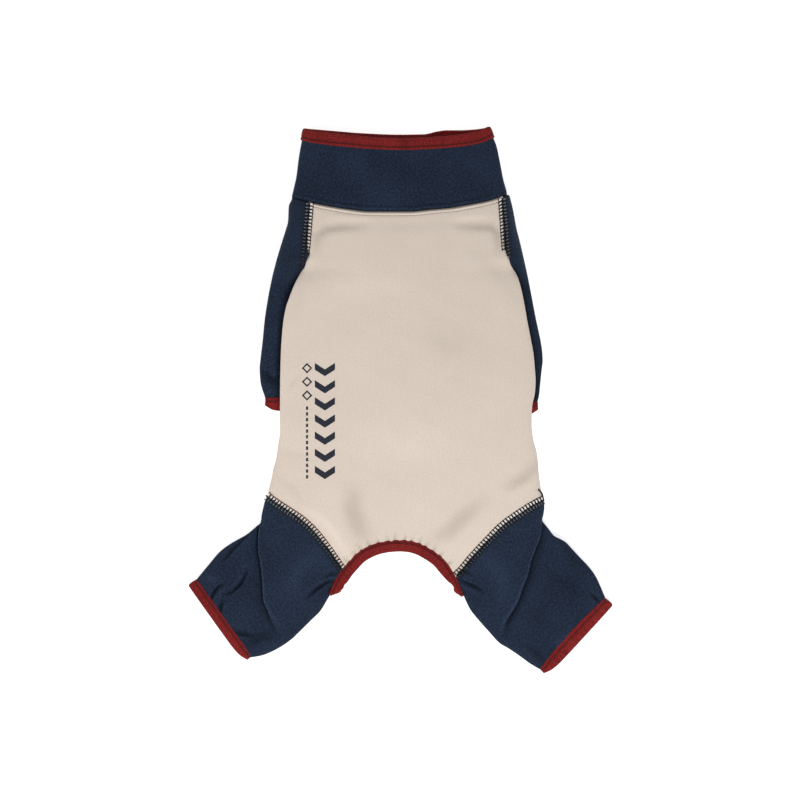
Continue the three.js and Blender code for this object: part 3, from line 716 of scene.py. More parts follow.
# Collar outline. Columns: along Y, across X; and the rim's two layers: across X, along Y
COLLAR_LEFT = [
    (150, -84), (157, -83.5), (161.5, -82.5), (173, -80), (185, -78.5), (199.5, -76), (210, -73.5),
]  # fmt: skip
COLLAR_RIGHT = [
    (150, 83), (159.5, 82.5), (169.5, 80), (185, 77), (196.5, 74.5), (201.5, 72.5), (211, 68.5),
]  # fmt: skip
RIM_FRONT = [
    (-76, 210.3), (-68, 208.0), (-54, 206), (-38.5, 204.3), (-19, 202.6), (0, 201.9),
    (23, 202.6), (46, 204.6), (61.5, 207.6), (70, 211.5),
]  # fmt: skip
RIM_FAR = [
    (-76, 210.5), (-61.5, 209.3), (-46, 208), (-31, 206.8), (0, 205.6), (19, 205.9),
    (30, 208.2), (36, 209), (46, 209), (60, 209.8), (70, 211.5),
]  # fmt: skip


def collar_frame(y):
    """Middle and half width of the collar at a place along it."""
    left = smooth_table(COLLAR_LEFT, y)
    right = smooth_table(COLLAR_RIGHT, y)
    return (left + right) / 2, (right - left) / 2


def collar_point(share, along, far_layer, short):
    """Plan point and height on the collar, at shares across it and from its seam to a line that
    lies short of the rim. far_layer says which shares are on the lower layer."""
    y = np.full(np.shape(share), 180.0)
    for _ in range(6):
        middle, half = collar_frame(y)
        x = middle + share * half
        rim = np.where(far_layer, smooth_table(RIM_FAR, x), smooth_table(RIM_FRONT, x)) - short
        y = mix(smooth_table(COLLAR_SEAM, x), rim, along)
    middle, half = collar_frame(y)
    x = middle + share * half
    top = mix(*COLLAR_RISE, along)
    power = mix(4.0, 2.6, np.clip(along * 2, 0, 1))
    high = crown(share, top / 2, top, power)
    return x, y, np.where(far_layer, sole(share, top / 2), high)


def ring_shares(count):
    """Shares once round a flattened tube, the upper layer first, and which layer each is on."""
    top = full_shares(count)
    share = np.concatenate([top, top[-2:0:-1]])
    return share, np.concatenate([np.zeros(len(top), bool), np.ones(len(top) - 2, bool)])


def build_collar():
    """The collar: a tube of navy jersey, from the neck seam into the rim's binding."""
    rows = dense_ends(COLLAR_LENGTH, 1.7, end=False)
    share, far_layer = ring_shares(34)
    x = np.zeros((len(rows), len(share)))
    y, z = x.copy(), x.copy()
    for k, along in enumerate(rows):
        x[k], y[k], z[k] = collar_point(share, along, far_layer, 5.0)
    from_seam = rows[:, None] * COLLAR_LENGTH
    upper = ~far_layer[None, :] * (1 - np.abs(share) ** 8)[None, :]
    z = z - upper * edge_dip(from_seam)
    puff = 0.7 * bell(from_seam, 1.1, COLLAR_PUFF) - 0.45 * bell(from_seam, 0.6, COLLAR_CREASE)
    z = z + upper * (puff + relief(x, y) * 0.8)
    grid = np.stack([x, y, z], -1)
    across = distances_across(grid)
    uv = np.stack([np.broadcast_to(across, y.shape), np.broadcast_to(from_seam, y.shape)], -1)
    # painted shade at the seam and in the crease, and a painted highlight on the puff between them
    tone = 0.9 * bell(from_seam, 0.9) - 0.35 * bell(from_seam, 0.9, COLLAR_PUFF)
    tone = tone + 0.35 * bell(from_seam, 0.5, COLLAR_CREASE)
    return grid_mesh("collar_band", grid, uv, NAVY, around=True, tone=upper * tone)


collar = dress(thicken(build_collar()), "navy_jersey", "collar")


def face_outward(piece):
    """Turns a closed piece's faces outwards."""
    mesh = bmesh.new()
    mesh.from_mesh(piece.data)
    bmesh.ops.recalc_face_normals(mesh, faces=mesh.faces)
    mesh.to_mesh(piece.data)
    mesh.free()
    return piece


def flat_section(width, thickness):
    """Outline of a folded binding in section: pairs along its width and its thickness, from one
    edge over the outside to the other edge and back."""
    spread = np.linspace(-1, 1, 19)
    half = thickness / 2
    rise = half * (1 - np.abs(spread) ** 5) ** (1 / 2.2)
    upper = np.stack([spread * width / 2, rise], 1)
    lower = np.stack([spread[-2:0:-1] * width / 2, -rise[-2:0:-1]], 1)
    return np.concatenate([upper, lower])


groove_lines = {}


def band(name, path, off, out, width, thickness, groove, ripple, pull=0.0, bulge=0.0, gather_shade=0.0,
         square=True):
    """Binding swept along a closed path of points: off points across its width to its free edge,
    and out away from the cloth it is folded over. groove is its stitch line's place across the
    width, and ripple the share by which its thickness varies. At each point, pull is the share
    by which its free edge draws in, bulge the share by which its sewn edge spreads, and the third
    of them the painted shade that darkens it, as in its gathers. Unless square, off's slant is kept."""
    section = flat_section(width, thickness)
    count = len(path)
    line, ups = [], []
    pull, bulge, gather_shade = (np.broadcast_to(given, count) for given in (pull, bulge, gather_shade))
    tone = np.zeros((count, len(section)))
    seam = np.roll(path, -1, axis=0) - np.roll(path, 1, axis=0)
    along = distances(path)
    grid = np.zeros((count, len(section), 3))
    for k in range(count):
        tangent = seam[k] / np.linalg.norm(seam[k])
        w = off[k]
        if square:
            w = w - tangent * np.dot(w, tangent)
            w /= np.linalg.norm(w)
        n = np.cross(tangent, w)
        n /= np.linalg.norm(n)
        if np.dot(n, out[k]) < 0:
            n = -n
        a, b = section.T
        a = np.where(a > 0, a * (1 - pull[k]), a * (1 + bulge[k]))
        sewn = groove * (1 + bulge[k]) if groove < 0 else groove * (1 - pull[k])
        upper = b > 0
        b = b - upper * 0.5 * bell(a, 0.8, sewn)
        blotch = max(0.0, math.sin(along[k] / 3.1) * math.sin(along[k] / 1.7 + 2))
        # painted shade in the stitch groove on top, the rib's own darker blotches, and the painted shade
        # given at each point
        tone[k] = upper * bell(a, 0.7, sewn) + 0.3 * blotch + gather_shade[k]
        line.append(path[k] + w * sewn + n * (thickness / 2 - 0.4))
        ups.append(n)
        wave = ripple * math.sin(along[k] / 2.9) * math.sin(along[k] / 7.3 + 1)
        grid[k] = path[k] + a[:, None] * w + (b * (1 + wave))[:, None] * n
    uv = np.stack([np.broadcast_to(distances(grid[0]), tone.shape),
                   np.broadcast_to(along[:, None], tone.shape)], -1)
    groove_lines[name] = (np.array(line), np.array(ups))
    return grid_mesh(name, grid, uv, RED, around=True, closed=True, tone=tone)


def rim_path():
    """The middle of the collar's binding, once round the rim, with its directions."""
    share, far_layer = ring_shares(34)
    x, y, z = collar_point(share, np.ones(len(share)), far_layer, RIM_WIDTH / 2)
    inside = np.where(far_layer, 1.0, -1.0) * (1 - np.abs(share) ** 12) * 0.6
    path = np.stack([x, y, np.maximum(z + inside, 1.5)], 1)
    x2, y2, z2 = collar_point(share, np.ones(len(share)) * 0.9, far_layer, RIM_WIDTH / 2)
    off = np.stack([x - x2, y - y2, z - z2], 1)
    out = path - path.mean(axis=0)
    out[:, 0] *= 0.05
    out[:, 1] = 0
    return path, off, out


path, off, out = rim_path()
upper_rim = path[:, 2] > 10
# The rim's front is gathered for a short way, with painted shade in its gathers, and the binding is
# darker at its joint beside that
gathered = np.exp(-(((path[:, 0] - 2.5) / 6) ** 4)) * (0.5 + 0.5 * np.sin(path[:, 0] * 2.6))
joint = bell(path[:, 0], 0.9, -20)
collar_binding = band("collar_rib", path, off, out, RIM_WIDTH, BINDING, groove=-2.2, ripple=0.03,
                      gather_shade=upper_rim * (0.5 * gathered + 0.5 * joint))
collar_binding = dress(face_outward(collar_binding), "red_rib", "collar_binding")

# The sleeves' outer folds, by side (-1 left, 1 right). Columns: along Y, across X
SLEEVE_OUTER = {
    -1: [
        (160, -83.3), (157, -83.5), (150, -86), (138.5, -86.5), (131, -88.5), (123, -91),
        (108, -95.5), (92.5, -99.5), (77, -102.5), (61.5, -104.8), (46, -106.3), (33, -107.8),
        (24.5, -108.6), (14, -108), (7.5, -106.4), (2.5, -104.6), (-6, -103),
    ],
    1: [
        (160, 82.5), (156.5, 84.5), (151.5, 86), (142.5, 88), (132.5, 90), (123, 92.5),
        (108, 96), (92.5, 99.5), (77, 102.5), (61.5, 105.5), (50, 108), (38.5, 110),
        (31, 110.5), (21.5, 109.5), (11.5, 108.5), (2.5, 107.5), (-1.5, 106.5), (-10, 105.5),
    ],
}  # fmt: skip
# Columns: along Y, width of a sleeve
SLEEVE_WIDTH = [(160, 26), (141, 29), (123, 33), (109, 37), (96, 41), (86, 44), (64, 48.5),
                (47, 51), (33, 52), (16, 51), (2, 48.5), (-12, 48)]  # fmt: skip
SLEEVE_END = {-1: 2.0, 1: -1.5}  # along Y
# The line on a sleeve's top below the armhole, hidden. Columns: along Y, how far inside the body
SEAM_BELOW = [(110, 0.0), (97, 3.0), (80, 14.0), (0, 25.0)]
# The sleeve's parts: from the armhole to the outer fold, underneath, and on top beside the body
OUTER, UNDER, INNER = range(3)


def armhole_x(y, sign):
    """An armhole seam's place across X."""
    return smooth_table(BODY_LEFT if sign < 0 else BODY_RIGHT, y)


def sleeve_grid(sign):
    """Points of a sleeve, with the part of it that each column is on."""
    rows = dense_ends(SLEEVE_LENGTH, 2.2, end=False)
    to_fold = 1 - 0.2 * np.linspace(1, 0, 9) ** 2
    outer_steps = np.concatenate([np.linspace(0, 0.8, 8, endpoint=False), to_fold])
    under_steps = np.linspace(0, 1, 34)[1:]
    inner_steps = np.linspace(0, 1, 16)[-2:0:-1]
    steps = np.concatenate([outer_steps, under_steps, inner_steps])
    kinds = np.repeat([OUTER, UNDER, INNER], [len(outer_steps), len(under_steps), len(inner_steps)])
    start = 157.5
    x = np.zeros((len(rows), len(kinds)))
    y, z = x.copy(), x.copy()
    for k, along in enumerate(rows):
        yk = mix(start, SLEEVE_END[sign] - 2.0, along)
        outer = smooth_table(SLEEVE_OUTER[sign], yk)
        width = float(smooth_table(SLEEVE_WIDTH, yk))
        inner = outer - sign * width
        seam = armhole_x(max(yk, ARMHOLE_END[0]), sign) - sign * smooth_table(SEAM_BELOW, yk)
        thin = step_up(112 - yk, 0, 26)
        top = mix(22.2, SLEEVE_TOP, thin)
        side = mix(9.5, SLEEVE_TOP / 2, thin)
        middle = (outer + inner) / 2
        half = width / 2
        for c, (kind, t) in enumerate(zip(kinds, steps)):
            if kind == OUTER:
                px = mix(seam, outer, t)
                seam_z = float(back_height(np.array(seam), np.array(yk))) if yk > 90 else top
                tube_share = np.clip((px - middle) / half, -1, 1)
                pz = mix(crown(t, side, seam_z, 2.2), crown(tube_share, side, top), thin)
            elif kind == UNDER:
                px = mix(outer, inner, t)
                pz = sole(2 * t - 1, side)
            else:
                px = mix(seam, inner, t)
                pz = crown(np.clip((px - middle) / half, -1, 1), side, top)
            x[k, c], z[k, c] = px, pz
        sag = 1 - step_up(157 - yk, 0, 30)
        y[k] = yk + sag * (smooth_table(COLLAR_SEAM, x[k]) - start)
    return x, y, z, kinds, rows


def build_sleeve(sign, name):
    """A sleeve: a tube of navy jersey, open inside the armhole."""
    x, y, z, kinds, rows = sleeve_grid(sign)
    from_seam = np.abs(x - armhole_x(y, sign))
    on_top = (kinds == OUTER)[None, :]
    sewn = at_armhole(y)
    z = z - on_top * sewn * edge_dip(from_seam)
    z = z - on_top * edge_dip(rows[:, None] * SLEEVE_LENGTH)
    z = z + on_top * relief(x, y) * 0.5
    grid = np.stack([x, y, z], -1)
    across = distances_across(grid)
    uv = np.stack([np.broadcast_to(across, y.shape), y], -1)
    # the armhole is open inside, so the tube's inner top starts below it
    keep = np.ones((x.shape[0] - 1, x.shape[1]), bool)
    open_rows = y[:-1, 0] > ARMHOLE_END[0] - 4
    inner_columns = kinds == INNER
    inner_columns[np.where(kinds == UNDER)[0][-1]] = True
    keep[np.ix_(open_rows, inner_columns)] = False
    # painted shadow that the body's side fold casts on the sleeve beside it
    painted_body_shadow = bell(from_seam, 2.6) * (1 - sewn) * 0.9
    tone = (relief(x, y, tone=True) + painted_body_shadow) * on_top
    return grid_mesh(name, grid, uv, NAVY, around=True, keep=keep, flip=sign > 0, tone=tone)


sleeves = {}
for side, sign in (("left", -1), ("right", 1)):
    made = build_sleeve(sign, f"sleeve_{side}_tube")
    sleeves[side] = dress(thicken(made, LIMB_CLOTH), "navy_jersey", f"sleeve_{side}")


def cuff(name, node, left, right, away, top, width, round_end, bulge=0.0):
    """Folded rib binding round the end of a tube of cloth, between two plan points. away points
    to its free edge. round_end is the side, -1 or 1, where its free corner is rounded off."""
    share, lower = ring_shares(24)
    plan = mix(np.array(left, float), np.array(right, float), (share[:, None] + 1) / 2)
    height = np.where(lower, sole(share, top / 2), crown(share, top / 2, top))
    path = np.column_stack([plan, np.maximum(height, BINDING / 2)])
    off = np.tile(np.array([*away, 0.0]), (len(path), 1))
    out = path - path.mean(axis=0)
    out[:, 2] *= 6
    corner = 0.75 * np.clip(share * round_end, 0, 1) ** 7
    piece = band(name, path, off, out, width, BINDING * 0.9, groove=-width * 0.22, ripple=0.04,
                 pull=corner, bulge=bulge * (1 - share**2))
    return dress(face_outward(piece), "red_rib", node)


# The sleeves' cuffs. Columns: left end, right end, rounded corner
SLEEVE_CUFFS = {
    "left": ((-103.2, -3.2), (-56, -3.2), -1),
    "right": ((58.5, -6.5), (105.7, -6.5), 1),
}
for side, (left, right, round_end) in SLEEVE_CUFFS.items():
    cuff(f"sleeve_rib_{side}", f"sleeve_cuff_{side}", left, right, (0, -1),
                                   10.2, 10.5, round_end)

# Hind legs. outer and inner: outlines from the hip seam to the cuff. fold: the line of the
# fold across the leg, from its outer to its inner end. seam: the hip seam, outer end first.
# fold_fades: the shares across the leg between which the fold flattens out. crotch: how far it
# is from the hip seam
LEGS = {
    "left": {
        "sign": -1,
        "outer": [
            (-102.2, -74.2), (-103.9, -77), (-105.6, -83), (-107, -89.5), (-108, -95), (-111.5, -98),
            (-115.5, -101.5), (-119.5, -104.5), (-123, -106.5), (-131, -111), (-138.5, -116.5),
            (-141.5, -119.5), (-146.5, -125.5), (-151.5, -131.5), (-158, -139.5),
        ],
        "inner": [
            (-44, -131.5), (-48, -138), (-52, -145), (-53.6, -149.8), (-56, -154), (-61.5, -163),
            (-69.5, -171), (-77, -178.5), (-84.5, -185.5), (-92.5, -191), (-100, -195),
            (-106.5, -197.5), (-111, -198.5), (-117.5, -199.4),
        ],
        "fold": [
            (-108.2, -95), (-109.5, -105.5), (-109.5, -115.5), (-108, -124.5), (-106.5, -138.5),
            (-105.5, -154), (-103, -161.5), (-100, -169.5), (-96, -178), (-92.5, -191),
        ],
        "seam": HIND_SEAM_LEFT[1:],
        "fold_fades": (0.5, 0.98),
        "crotch": 20.0,
    },
    "right": {
        "sign": 1,
        "outer": [
            (110.6, -77.1), (111.3, -79.5), (111.5, -82.5), (111.1, -87), (109.9, -92.5), (114.8, -99.3),
            (120, -105.5), (123, -107), (128, -109.8), (132.5, -114.5), (138.5, -121),
            (146.5, -129.5), (151.5, -136.5), (155.5, -145), (159, -153.5),
        ],
        "inner": [
            (43, -136), (44.8, -139.6), (47.3, -145.4), (49.0, -150.6), (51, -155.5), (54, -161.5),
            (61.5, -171), (69.5, -180), (77, -188), (84.5, -192.5), (92.5, -198), (100, -203.5),
            (108.5, -208.5), (111, -209.6),
        ],
        "fold": [
            (109.9, -92.5), (108.4, -104), (104.8, -114), (101, -124.5), (98.5, -135), (94.5, -145),
            (91.5, -154), (87, -162.5), (82.5, -171), (80, -180), (78.5, -188.5),
        ],
        "seam": HIND_SEAM_RIGHT[::-1][1:],
        "fold_fades": (0.6, 1.0),
        "crotch": 17.0,
    },
}  # fmt: skip
FOLD_ALONG = 0.42  # the fold's place along the leg's rows, from the seam to the cuff
# The fold's shape in section. Columns: distance past the fold line, change of height, painted shade
# (below 0 a painted highlight on the fold's edge)
FOLD_SHAPE = [
    (-9, 0.1, 0.0), (-7.2, 0.3, 0.0), (-5.6, 0.6, 0.0), (-4.2, 0.9, 0.0), (-3, 1.2, 0.0),
    (-2, 1.3, -0.2), (-1.1, 1.2, -0.8), (-0.4, 0.8, -1.3), (0.1, 0.1, -1.0), (0.2, -0.7, 0.4),
    (-0.5, -1.6, 1.2), (-1.4, -2.6, 1.2), (-1.6, -3.6, 1.2), (-0.6, -4.4, 1.2), (1.0, -4.6, 1.0),
    (2.4, -4.3, 0.5), (3.8, -4.0, 0.2), (5.4, -3.6, 0.05), (7.2, -3.2, 0.0), (9, -2.9, 0.0),
    (11, -2.6, 0.0),
]  # fmt: skip
FOLD_ROOM = (0.09, 0.12)  # the shares of the rows before and after the fold that its shape takes


def past(path, share):
    """A point of a path at each share of its length."""
    along = distances(path)
    along /= along[-1]
    return np.stack([np.interp(share, along, column) for column in path.T], -1)


def edge_by_row(path, meets, rows):
    """Points of a leg's outline at its rows, with the fold's end at the fold's row."""
    line = path_through(path, count=400)
    nearest = np.argmin(np.linalg.norm(line - np.array(meets), axis=1)) / (len(line) - 1)
    return past(line, np.interp(rows, [0, FOLD_ALONG, 1], [0, nearest, 1]))


def leg_rows():
    """Shares down the leg, and which rows are the fold's own."""
    before = dense_ends(60, 1.5, end=False) * (FOLD_ALONG - FOLD_ROOM[0])
    room = [-0.93 * FOLD_ROOM[0], 0, 0.95 * FOLD_ROOM[1]]
    fold = np.interp(np.linspace(-1, 1, len(FOLD_SHAPE)), [-1, 0, 1], room)
    after = np.linspace(FOLD_ALONG + FOLD_ROOM[1], 1, 46)
    is_fold = np.repeat([False, True, False], [len(before), len(fold), len(after)])
    return np.concatenate([before, FOLD_ALONG + fold, after]), is_fold


def leg_grid(leg, rows):
    """Shares across a leg, which of them are on its lower layer, and the leg's plan points."""
    share, lower = ring_shares(48)
    u = (share + 1) / 2  # 0 at the outer edge
    outer = edge_by_row(leg["outer"], leg["fold"][0], rows)
    inner = edge_by_row(leg["inner"], leg["fold"][-1], rows)
    seam = past(path_through([leg["outer"][0]] + leg["seam"][1:], count=200), u)
    fold = past(path_through(leg["fold"], count=200), u)
    cuff_line = past(np.array([outer[-1], inner[-1]]), u)
    # the guides at the seam, fold and cuff, ruled between and then moved onto the outline
    first = np.interp(rows, [0, FOLD_ALONG, 1], [1, 0, 0])[:, None, None]
    last = np.interp(rows, [0, FOLD_ALONG, 1], [0, 0, 1])[:, None, None]
    plan = first * seam + (1 - first - last) * fold + last * cuff_line
    across = u[None, :, None]
    miss_outer = (outer - plan[:, np.argmin(u)])[:, None, :]
    miss_inner = (inner - plan[:, np.argmax(u)])[:, None, :]
    plan = plan + miss_outer * (1 - across) ** 2 + miss_inner * across**2
    return u, lower, plan


def build_leg(side):
    """A hind leg: a flared tube of navy jersey with a fold across its upper layer."""
    leg = LEGS[side]
    rows, is_fold = leg_rows()
    u, lower, plan = leg_grid(leg, rows)
    # on top, the fold's rows leave its line by the distances of its shape
    shape = np.zeros((len(rows), 3))
    shape[is_fold] = FOLD_SHAPE
    first, last = np.where(is_fold)[0][[0, -1]]
    middle = (first + last) // 2
    down = plan[middle + 2] - plan[middle - 2]
    down /= np.maximum(np.linalg.norm(down, axis=1), 0.3)[:, None]
    room_before = np.linalg.norm(plan[middle] - plan[first], axis=1)
    room_after = np.linalg.norm(plan[last] - plan[middle], axis=1)
    strength = np.clip(1.2 * (1 - step_up(u, *leg["fold_fades"])), 0, 1)
    strength *= step_up(u, -0.02, 0.05)
    fits_before = np.minimum(1, room_before / -FOLD_SHAPE[0][0])
    fits_after = np.minimum(1, room_after / FOLD_SHAPE[-1][0])
    reach = shape[:, 0][:, None]
    reach = reach * np.where(reach < 0, fits_before, fits_after)
    folded = plan[middle][None] + reach[:, :, None] * down[None]
    spread = is_fold[:, None] * ~lower[None, :] * strength[None, :]
    plan = mix(plan, folded, spread[:, :, None])
    step = np.linalg.norm(np.diff(plan, axis=0), axis=2)
    far = np.concatenate([np.zeros((1, len(u))), np.cumsum(step, axis=0)])
    x, y = plan[:, :, 0], plan[:, :, 1]
    height = smooth_table([(0, 19.0), (0.2, 18.0), (FOLD_ALONG, 16.2), (1.0, 10.4)], rows)[:, None]
    side_z = mix(side_height(-70.0), height / 2, step_up(far, 0, 24))
    share = 2 * u - 1
    own = crown(share, side_z, height)
    from_body = 1 - step_up(far, 3, 27)
    calm = 1 - np.abs(share) ** 8
    upper = mix(own + relief(x, y) * calm, back_height(x, y), from_body)
    drop = np.interp(rows, [0, FOLD_ALONG, FOLD_ALONG + FOLD_ROOM[1] * 0.99, 1], [0, 0, -2.6, 0])
    drop[is_fold] = shape[is_fold, 1]
    upper = upper + drop[:, None] * strength[None, :] * calm
    upper = upper - edge_dip(far)
    crotch = leg["crotch"]
    # above the crotch the two layers stay apart at the inner edge
    inner_edge = 1 - step_up(far, crotch - 5, crotch + 3)
    low = mix(sole(share, side_z), 0.0, inner_edge * (u > 0.5))
    z = np.where(lower, low, upper)
    grid = np.stack([x, y, z], -1)
    ends = np.argmax(u)
    keep = np.ones((len(rows) - 1, len(u)), bool)
    keep[:, ends] = far[:-1, ends] > crotch
    across = distances_across(grid)
    uv = np.stack([np.broadcast_to(across, y.shape), -far], -1)
    # painted shade under the fold and a painted highlight on its edge, and the creases' painted shade
    tone = shape[:, 2][:, None] * strength[None, :] + relief(x, y, tone=True)
    tone = tone * ~lower[None, :]
    return grid_mesh(f"leg_{side}", grid, uv, NAVY, around=True, keep=keep, flip=leg["sign"] < 0,
                     tone=tone)


hind_legs = {}
for side in ("left", "right"):
    made = build_leg(side)
    hind_legs[side] = dress(thicken(made, LIMB_CLOTH), "navy_jersey", f"hind_leg_{side}")

# Their cuffs. Columns: left end, right end, way to the free edge, rounded corner, bulge
HIND_CUFFS = {
    "left": ((-159.8, -141.6), (-118.2, -199.6), (-0.813, -0.583), 1, 0.0),
    "right": ((111.6, -210.0), (161.0, -156.4), (0.738, -0.675), -1, 0.5),
}
for side, (left, right, away, round_end, bulge) in HIND_CUFFS.items():
    cuff(f"leg_rib_{side}", f"hind_cuff_{side}", left, right, away,
                                10.4, 8.6, round_end, bulge)


def rump_path():
    """The rump binding's middle, a closed loop, with its directions."""
    inside = 4.3  # from the binding's outer edge to its middle
    upper_edge = path_through(RUMP_ARCH, count=90)
    upper = beside(upper_edge, -inside)
    upper_off = upper - upper_edge
    upper_off /= np.linalg.norm(upper_off, axis=1)[:, None]
    # both ends of the binding are folded over on a slant
    gone = distances(upper)
    left_off, right_off = np.array([1.2, 0.52]), np.array([-0.9, 0.7])
    upper_off = mix(upper_off, left_off, 1 - step_up(gone, 0, 12)[:, None])
    upper_off = mix(upper_off, right_off, 1 - step_up(gone[-1] - gone, 0, 12)[:, None])
    z = back_height(upper[:, 0], upper[:, 1]) - 0.4
    t = np.sin(np.linspace(1, -1, 70) * np.pi / 2)
    arch_x = t * np.where(t < 0, -CROTCH[0][0], CROTCH[1][0])
    lower_edge = np.stack([arch_x, belly_arch(arch_x)], 1)
    lower = beside(lower_edge, inside)
    keep = lower[:, 1] > CROTCH[0][1] + 4
    lower, lower_edge = lower[keep], lower_edge[keep]
    lower_off = lower - lower_edge
    lower_off /= np.linalg.norm(lower_off, axis=1)[:, None]
    path = [np.column_stack([upper, z])]
    off = [np.column_stack([upper_off, np.zeros(len(z))])]
    out = [np.tile((0, 0, 1.0), (len(z), 1))]

    def turn(here, here_z, here_off, there, there_off):
        """Round a crotch from the back down to the belly."""
        share = np.linspace(0, 1, 16)[1:-1][:, None]
        radius = (here_z - BINDING / 2) / 2
        angle = share[:, 0] * np.pi
        plan = mix(here, there, share)
        plan[:, 1] -= np.sin(angle) * radius * 0.25
        height = BINDING / 2 + radius + np.cos(angle) * radius
        turned = mix(here_off, there_off, step_up(share, 0.5, 1))
        flat = np.zeros(len(share))
        return (
            np.column_stack([plan, height]),
            np.column_stack([turned, flat]),
            np.column_stack([flat, -np.sin(angle), np.cos(angle)]),
        )

    right = turn(upper[-1], z[-1], upper_off[-1], lower[0], lower_off[0])
    left = turn(upper[0], z[0], upper_off[0], lower[-1], lower_off[-1])
    low = BINDING / 2 + 0.1
    path += [right[0], np.column_stack([lower, np.full(len(lower), low)]), left[0][::-1]]
    off += [right[1], np.column_stack([lower_off, np.zeros(len(lower))]), left[1][::-1]]
    out += [right[2], np.tile((0, 0, -1.0), (len(lower), 1)), left[2][::-1]]
    # the free edge draws in towards the right end, and where the binding goes on underneath
    to_end = gone[-1] - gone
    right_pull = 0.45 * (1 - step_up(to_end, 6, 22)) - 0.3 * (1 - step_up(to_end, 0, 8))
    along = np.linspace(0, 1, len(lower))
    lower_pull = 0.9 * (1 - step_up(np.minimum(along, 1 - along), 0, 0.12))
    turn_pull = np.linspace(0.15, 0.9, len(right[0]))
    pull = [right_pull, turn_pull, lower_pull, np.maximum(turn_pull, 0.35)[::-1]]
    return np.concatenate(path), np.concatenate(off), np.concatenate(out), np.concatenate(pull)


path, off, out, pull = rump_path()
rump = band("rump_rib", path, off, out, RUMP_WIDTH, BINDING, groove=-2.2, ripple=0.03, pull=pull,
            square=False)
rump = dress(face_outward(rump), "red_rib", "rump_binding")


def stitch_tree():
    """Node tree that lays short bent threads, or puffs of cloth, along a path of points. The
    path carries the surface's direction as the attribute up."""
    tree = bpy.data.node_groups.new("stitch_line", "GeometryNodeTree")
    face = tree.interface
    face.new_socket("Geometry", in_out="OUTPUT", socket_type="NodeSocketGeometry")
    face.new_socket("Geometry", in_out="INPUT", socket_type="NodeSocketGeometry")
    for name, start in (
        ("Pitch", 0.0025), ("Length", 0.0022), ("Radius", 0.0003), ("Rise", 0.0003),
        ("Flatness", 1.0), ("Turn", 0.0), ("Unevenness", 0.08),
    ):  # fmt: skip
        socket = face.new_socket(name, in_out="INPUT", socket_type="NodeSocketFloat")
        socket.default_value = start
    seed = face.new_socket("Seed", in_out="INPUT", socket_type="NodeSocketInt")
    seed.default_value = 3
    face.new_socket("Material", in_out="INPUT", socket_type="NodeSocketMaterial")
    given = tree.nodes.new("NodeGroupInput").outputs
    line = add(tree, "GeometryNodeMeshToCurve", given["Geometry"])
    spaced = add(tree, "GeometryNodeResampleCurve", mode="LENGTH", Curve=line, Length=given["Pitch"])
    # one thread: an arc along X that rises in its middle
    half = add(tree, MATH, given["Length"], 0.5, operation="MULTIPLY")
    before = add(tree, MATH, half, -1.0, operation="MULTIPLY")
    crest = add(tree, MATH, given["Rise"], 2.0, operation="MULTIPLY")
    start = add(tree, "ShaderNodeCombineXYZ", X=before)
    middle = add(tree, "ShaderNodeCombineXYZ", Z=crest)
    end = add(tree, "ShaderNodeCombineXYZ", X=half)
    arc = add(tree, "GeometryNodeCurveQuadraticBezier", Resolution=4, Start=start, Middle=middle,
              End=end)
    # the thread is thinner where it dips into the cloth
    place = add(tree, "GeometryNodeSplineParameter").outputs["Factor"]
    phase = add(tree, MATH, place, math.pi * 0.8, math.pi * 0.1, operation="MULTIPLY_ADD")
    swell = add(tree, MATH, phase, operation="SINE")
    size = add(tree, "GeometryNodeSetCurveRadius", Curve=arc, Radius=swell)
    ring = add(tree, "GeometryNodeCurvePrimitiveCircle", Resolution=6, Radius=given["Radius"])
    thread = add(tree, "GeometryNodeCurveToMesh", Curve=size, Profile_Curve=ring)
    thread.inputs["Fill Caps"].default_value = True
    if "Scale" in thread.inputs:
        tree.links.new(swell.outputs[0], thread.inputs["Scale"])
    squeeze = add(tree, "ShaderNodeCombineXYZ", 1.0, 1.0, given["Flatness"])
    pressed = add(tree, "GeometryNodeTransform", Geometry=thread, Scale=squeeze)
    # each thread lies along the path, square to the cloth, and then leans a little
    tangent = add(tree, "GeometryNodeInputTangent")
    up = add(tree, "GeometryNodeInputNamedAttribute", data_type="FLOAT_VECTOR", Name="up")
    turned = add(tree, "FunctionNodeAxesToRotation", up, tangent, primary_axis="Z", secondary_axis="X")
    wobble = add(tree, "FunctionNodeRandomValue", data_type="FLOAT", Seed=given["Seed"])
    wobble.inputs[2].default_value = -1.0
    wobble.inputs[3].default_value = 1.0
    chance = wobble.outputs[1]
    lean = add(tree, MATH, chance, given["Unevenness"], operation="MULTIPLY")
    angle = add(tree, MATH, given["Turn"], lean, operation="ADD")
    spin = add(tree, "ShaderNodeCombineXYZ", Z=angle)
    local = add(tree, "FunctionNodeEulerToRotation", spin)
    aimed = add(tree, "FunctionNodeRotateRotation", turned, local, rotation_space="LOCAL")
    scale = add(tree, MATH, chance, given["Unevenness"], 1.0, operation="MULTIPLY_ADD")
    laid = add(tree, "GeometryNodeInstanceOnPoints", Points=spaced, Instance=pressed,
               Rotation=aimed, Scale=scale)
    real = add(tree, "GeometryNodeRealizeInstances", laid)
    done = add(tree, "GeometryNodeSetMaterial", Geometry=real, Material=given["Material"])
    smooth = add(tree, "GeometryNodeSetShadeSmooth", Geometry=done)
    add(tree, "NodeGroupOutput", smooth)
    return tree


STITCHES = stitch_tree()
bpy.context.view_layer.update()


def surface_of(*pieces):
    """The pieces as they are shown, to drop points on, in millimetres."""
    graph = bpy.context.evaluated_depsgraph_get()
    points, faces = [], []
    for piece in pieces:
        shown = piece.evaluated_get(graph)
        made = shown.to_mesh()
        start = len(points)
        points += [v.co / MM for v in made.vertices]
        faces += [[start + v for v in face.vertices] for face in made.polygons]
        shown.to_mesh_clear()
    return BVHTree.FromPolygons(points, faces)


